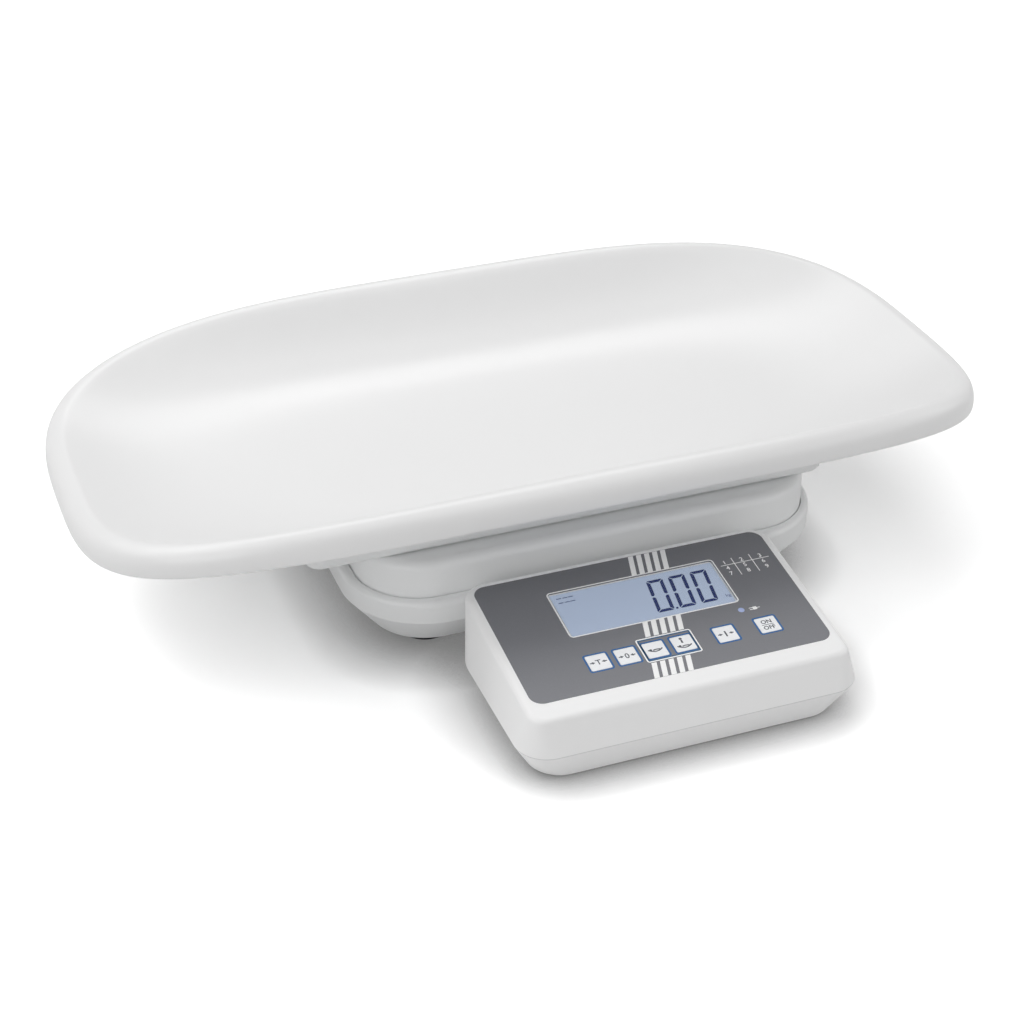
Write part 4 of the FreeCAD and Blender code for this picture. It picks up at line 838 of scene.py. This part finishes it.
# %% Legends
# Each key has its outlines and its words; a word is its text, its middle, height and boldness.
# Their ink is a dull dark grey, which reads on the white caps without glare.
ARROW_REACH, HOLD_REACH, HOLD_BAR = 5.2, 5.0, (1.0, 4.8, 0.2)
TRAY_DROP, PERSON_TRAY_DROP = 1.6, 3.6
LETTER, LETTER_BOLD = 4.0, 0.08
WORD, WORD_BOLD, WORD_SHIFT = 3.0, 0.09, 2.6
DIVIDER_HALF, DIVIDER_WIDTH = 3.8, 0.4
grey_ink = speckled("grey_screen_ink", "#4E545B", "#565C63", 0.4, 0.6, 0.002)
legends = {
    "tare": lambda u, v: (arrows_about(u, v, ARROW_REACH), [("T", (u, v), LETTER, LETTER_BOLD)]),
    "zero": lambda u, v: (arrows_about(u, v, ARROW_REACH), [("0", (u, v), LETTER, LETTER_BOLD)]),
    "tray": lambda u, v: (child_in_tray(u, v - TRAY_DROP), []),
    "baby": lambda u, v: (standing_person(u, v) + child_in_tray(u, v - PERSON_TRAY_DROP), []),
    "hold": lambda u, v: (arrows_about(u, v, HOLD_REACH) + [rounded((u, v), *HOLD_BAR)], []),
    "power": lambda u, v: ([straight((u - DIVIDER_HALF, v), (u + DIVIDER_HALF, v),
                                     DIVIDER_WIDTH)],
                           [("ON", (u, v + WORD_SHIFT), WORD, WORD_BOLD),
                            ("OFF", (u, v - WORD_SHIFT), WORD, WORD_BOLD)]),
}
for key, u in KEYS.items():
    outlines, words = legends[key](u, KEY_ROW)
    parts = [slab(outline, KEY_TOP) for outline in outlines]
    parts += [lettering(text, at, height, KEY_TOP, bold) for text, at, height, bold in words]
    piece(f"{key}_key_legend", parts, grey_ink, f"{key}_key_cap", on_panel)

# %% [markdown]
# ## Figures on the display
# A liquid crystal figure is made of separate bars with chamfered ends. A nought has six of them,
# with a gap half way up each side where the middle bar would meet it. The figures lean, so the
# bars are laid out upright first and then sheared. To the eye a bar is a dark blue shade in the
# cell, so its IOR is near that of air and it mirrors nothing.

# %% Segments
FIGURE_WIDTH, FIGURE_HEIGHT, FIGURE_LEAN = 10.8, 28.8, 0.14
FIGURE_PITCH, FIGURE_FIRST, FIGURE_FOOT, FIGURES = 14.4, 5.0, 66.6, 3
BAR, BAR_GAP = 2.3, 0.45                       # width of a bar, space before the next one
BAR_CUT, BAR_TIP = 0.5, 0.1                    # chamfer at the ends of a bar
POST_CORNER = [(0.0, 1.2), (0.35, 0.8)]        # chamfer of the figure's lower outer corner
segment_ink = speckled("liquid_crystal_bars", "#303C74", "#36427A", 0.5, 0.8, 0.001, ior=1.15)


def leaning(points, u):
    """Upright figure coordinates to the panel: shifted to u and sheared by FIGURE_LEAN."""
    x, y = np.asarray(points, float).T
    return np.column_stack([u + x + FIGURE_LEAN * y, FIGURE_FOOT + y])


def nought(u):
    """Six bars of a nought: trapeziums along the foot and head, and two chamfered posts each
    side."""
    w, h, t, g, cut, tip = FIGURE_WIDTH, FIGURE_HEIGHT, BAR, BAR_GAP, BAR_CUT, BAR_TIP
    foot = [(g + cut, 0), (w - g - cut, 0), (w - g - tip, cut), (w - t - g, t), (t + g, t),
            (g + tip, cut)]
    left = [*POST_CORNER, (t, t + g), (t, h / 2 - g - t / 2), (t / 2, h / 2 - g),
            (0, h / 2 - g - cut)]
    low = [foot, left, [(w - x, y) for x, y in left[::-1]]]
    high = [[(x, h - y) for x, y in bar[::-1]] for bar in low]
    return [slab(leaning(bar, u), CELL_TOP) for bar in low + high]


print("bars of a nought:", len(nought(FIGURE_FIRST)))

# %% Display
# The small marks look paler than the figures, because the cell's light spills over thin bars.
POINT, POINT_SIZE = (12.6, 0.8), (1.5, 1.5, 0.2)   # size: width, height, corner radius
MARKS_U, MARKS_V, MARK_SIZE = (-47.2, -43.2, -39.6), (96.4, 92.4), (3.2, 0.7, 0.15)
UNIT, UNIT_HEIGHT = (52.0, 68.6), 2.6
pale_segment_ink = speckled("pale_liquid_crystal_bars", "#5C6796", "#626D9C", 0.5, 0.8, 0.001,
                            ior=1.15)
figures = [bar for n in range(FIGURES) for bar in nought(FIGURE_FIRST + n * FIGURE_PITCH)]
figures.append(slab(leaning(rounded(POINT, *POINT_SIZE), FIGURE_FIRST), CELL_TOP))
marks = [slab(rounded((u, v), *MARK_SIZE), CELL_TOP) for u in MARKS_U for v in MARKS_V]
unit = lettering("kg", UNIT, UNIT_HEIGHT, CELL_TOP)
piece("display_figures", figures, segment_ink, "base", on_panel)
piece("display_unit", [unit] + marks, pale_segment_ink, "base", on_panel)

# %% [markdown]
# ## Floor, light and background
# Three large softboxes overhead, in front and behind, one at the upper left, and weaker fills from
# the other sides give the even light of a catalogue picture. The floor is a sweep that is white to
# the camera and to reflections far out, and near the object it takes the shadow, with a darker
# line where something stands on it. More light on the floor would whiten it too, but it would also
# bleach the white plastic, so the floor's own material does it.

# %% Floor paint
FLOOR_LIFT = 0.97          # light that the camera sees the floor give back on top of its paint
MIRROR_LIFT = 0.25         # the same for reflections and for glass
CONTACT_REACH = 42.0       # millimetres from the object at which its contact shadow has faded
CONTACT_DEPTH = 1.5        # power of the open share of the sky in the contact shadow
CONTACT_SAMPLES = 8
SHADE_GLOW = 0.18          # faint glow that the camera sees in the deepest shade
SWEEP = (0.8, 2.0)         # metres from the middle between which the floor fades into white
WHITE = (1.0, 1.0, 1.0, 1.0)


def looking_rays(tree):
    """1 for rays of the camera, and 1 for rays that came by a reflection or through glass."""
    path = add(tree, "ShaderNodeLightPath").outputs
    mirrored = add(tree, "ShaderNodeMath",
                   {0: path["Is Glossy Ray"], 1: path["Is Transmission Ray"]},
                   operation="MAXIMUM").outputs[0]
    return path["Is Camera Ray"], mirrored


def floor_material():
    """White paint. Camera, glossy and transmission rays see it give back more of the light it
    gets, and fade to plain white far out. For the camera it is darker where things within
    CONTACT_REACH hide the sky: the open share of the sky to the power CONTACT_DEPTH."""
    material, tree, output = new_material("white_sweep")
    material.cycles.emission_sampling = "NONE"
    camera, mirrored = looking_rays(tree)
    weak = add(tree, "ShaderNodeMath", {0: mirrored, 1: MIRROR_LIFT}, operation="MULTIPLY")
    lift = add(tree, "ShaderNodeMath", {0: camera, 1: FLOOR_LIFT, 2: weak.outputs[0]},
               operation="MULTIPLY_ADD")
    near = add(tree, "ShaderNodeAmbientOcclusion", {"Distance": CONTACT_REACH * MM},
               samples=CONTACT_SAMPLES)
    open_sky = add(tree, "ShaderNodeMath", {0: near.outputs["AO"], 1: CONTACT_DEPTH},
                   operation="POWER")
    paint = add(tree, "ShaderNodeBsdfDiffuse", {"Color": linear("#E8E8E8")})
    more = add(tree, "ShaderNodeBsdfDiffuse", {"Color": lift.outputs[0]})
    both = add(tree, "ShaderNodeAddShader", {0: paint.outputs[0], 1: more.outputs[0]})
    dark = add(tree, "ShaderNodeEmission", {"Color": [SHADE_GLOW] * 3 + [1.0]})
    shaded = add(tree, "ShaderNodeMixShader",
                 {0: open_sky.outputs[0], 1: dark.outputs[0], 2: both.outputs[0]})
    seen = add(tree, "ShaderNodeMixShader",
               {0: camera, 1: both.outputs[0], 2: shaded.outputs[0]})
    place = add(tree, "ShaderNodeTexCoord").outputs["Object"]
    away = add(tree, "ShaderNodeVectorMath", {0: place}, operation="LENGTH")
    far = add(tree, "ShaderNodeMapRange",
              {"Value": away.outputs["Value"], "From Min": SWEEP[0], "From Max": SWEEP[1]},
              interpolation_type="SMOOTHSTEP")
    looked = add(tree, "ShaderNodeMath", {0: mirrored, 1: camera}, operation="MAXIMUM")
    fade = add(tree, "ShaderNodeMath", {0: far.outputs[0], 1: looked.outputs[0]},
               operation="MULTIPLY")
    plain = add(tree, "ShaderNodeEmission", {"Color": WHITE})
    swept = add(tree, "ShaderNodeMixShader",
                {0: fade.outputs[0], 1: seen.outputs[0], 2: plain.outputs[0]})
    tree.links.new(swept.outputs[0], output.inputs["Surface"])
    return material


print("contact shadow reaches", CONTACT_REACH, "mm")

# %% Floor
FLOOR_HALF = 12.0
FLOOR_DROP = 0.0002        # metres under the feet, so that no two faces share a plane
floor_mesh = bpy.data.meshes.new("floor")
floor_corners = FLOOR_HALF * np.array([[-1, -1, 0], [1, -1, 0], [1, 1, 0], [-1, 1, 0]])
floor_mesh.from_pydata(floor_corners - [0, 0, FLOOR_DROP], [], [(0, 1, 2, 3)])
floor_mesh.materials.append(floor_material())
floor = bpy.data.objects.new("floor", floor_mesh)
bpy.context.collection.objects.link(floor)
print("floor:", 2 * FLOOR_HALF, "m wide")

# %% Lights
LIGHTS = {   # place, aim, size in metres, watts
    "overhead_softbox": ((-0.1, 0.25, 1.8), (-0.1, 0.25, 0.0), (2.8, 2.4), 6.0),
    "front_softbox": ((-0.1, -0.9, 1.7), (0.0, -0.1, 0.1), (2.4, 1.4), 6.0),
    "back_softbox": ((-0.1, 1.1, 1.7), (0.0, 0.0, 0.05), (2.4, 1.2), 16.0),
    "upper_left_softbox": ((-1.3, 0.2, 1.5), (0.0, 0.0, 0.08), (1.4, 1.4), 10.0),
    "right_softbox": ((2.2, -0.2, 1.0), (0.0, 0.0, 0.08), (1.6, 1.4), 10.0),
    "left_front_fill": ((-1.7, -1.5, 0.9), (0.0, 0.0, 0.08), (1.6, 1.4), 14.0),
    "right_front_fill": ((1.7, -1.6, 0.9), (0.0, 0.0, 0.08), (1.6, 1.4), 9.5),
}


def make_light(name, place, aim, size, power):
    """A rectangular softbox at place, turned so that its -Z axis points at the aim."""
    data = bpy.data.lights.new(name, "AREA")
    data.shape = "RECTANGLE"
    data.size, data.size_y = size
    data.energy = power
    light = bpy.data.objects.new(name, data)
    light.location = place
    ahead = np.array(aim) - np.array(place)
    across = math.hypot(ahead[0], ahead[1])
    light.rotation_euler = (math.atan2(across, -ahead[2]), 0, math.atan2(-ahead[0], ahead[1]))
    bpy.context.collection.objects.link(light)


for name, settings in LIGHTS.items():
    make_light(name, *settings)
print("lights:", ", ".join(LIGHTS))

# %% World
WORLD_LEVEL = 0.02


def make_world():
    """Soft white from all sides; camera, glossy and transmission rays see plain white."""
    world = bpy.data.worlds.new("studio")
    world.use_nodes = True
    tree = world.node_tree
    tree.nodes.clear()
    camera, mirrored = looking_rays(tree)
    seen = add(tree, "ShaderNodeMath", {0: camera, 1: mirrored}, operation="MAXIMUM")
    white = add(tree, "ShaderNodeBackground", {"Color": WHITE, "Strength": 1.0})
    soft = add(tree, "ShaderNodeBackground", {"Color": WHITE, "Strength": WORLD_LEVEL})
    pick = add(tree, "ShaderNodeMixShader",
               {0: seen.outputs[0], 1: soft.outputs[0], 2: white.outputs[0]})
    add(tree, "ShaderNodeOutputWorld", {"Surface": pick.outputs[0]})
    return world


bpy.context.scene.world = make_world()
bpy.context.scene.view_settings.view_transform = "Standard"
print("world level:", WORLD_LEVEL)
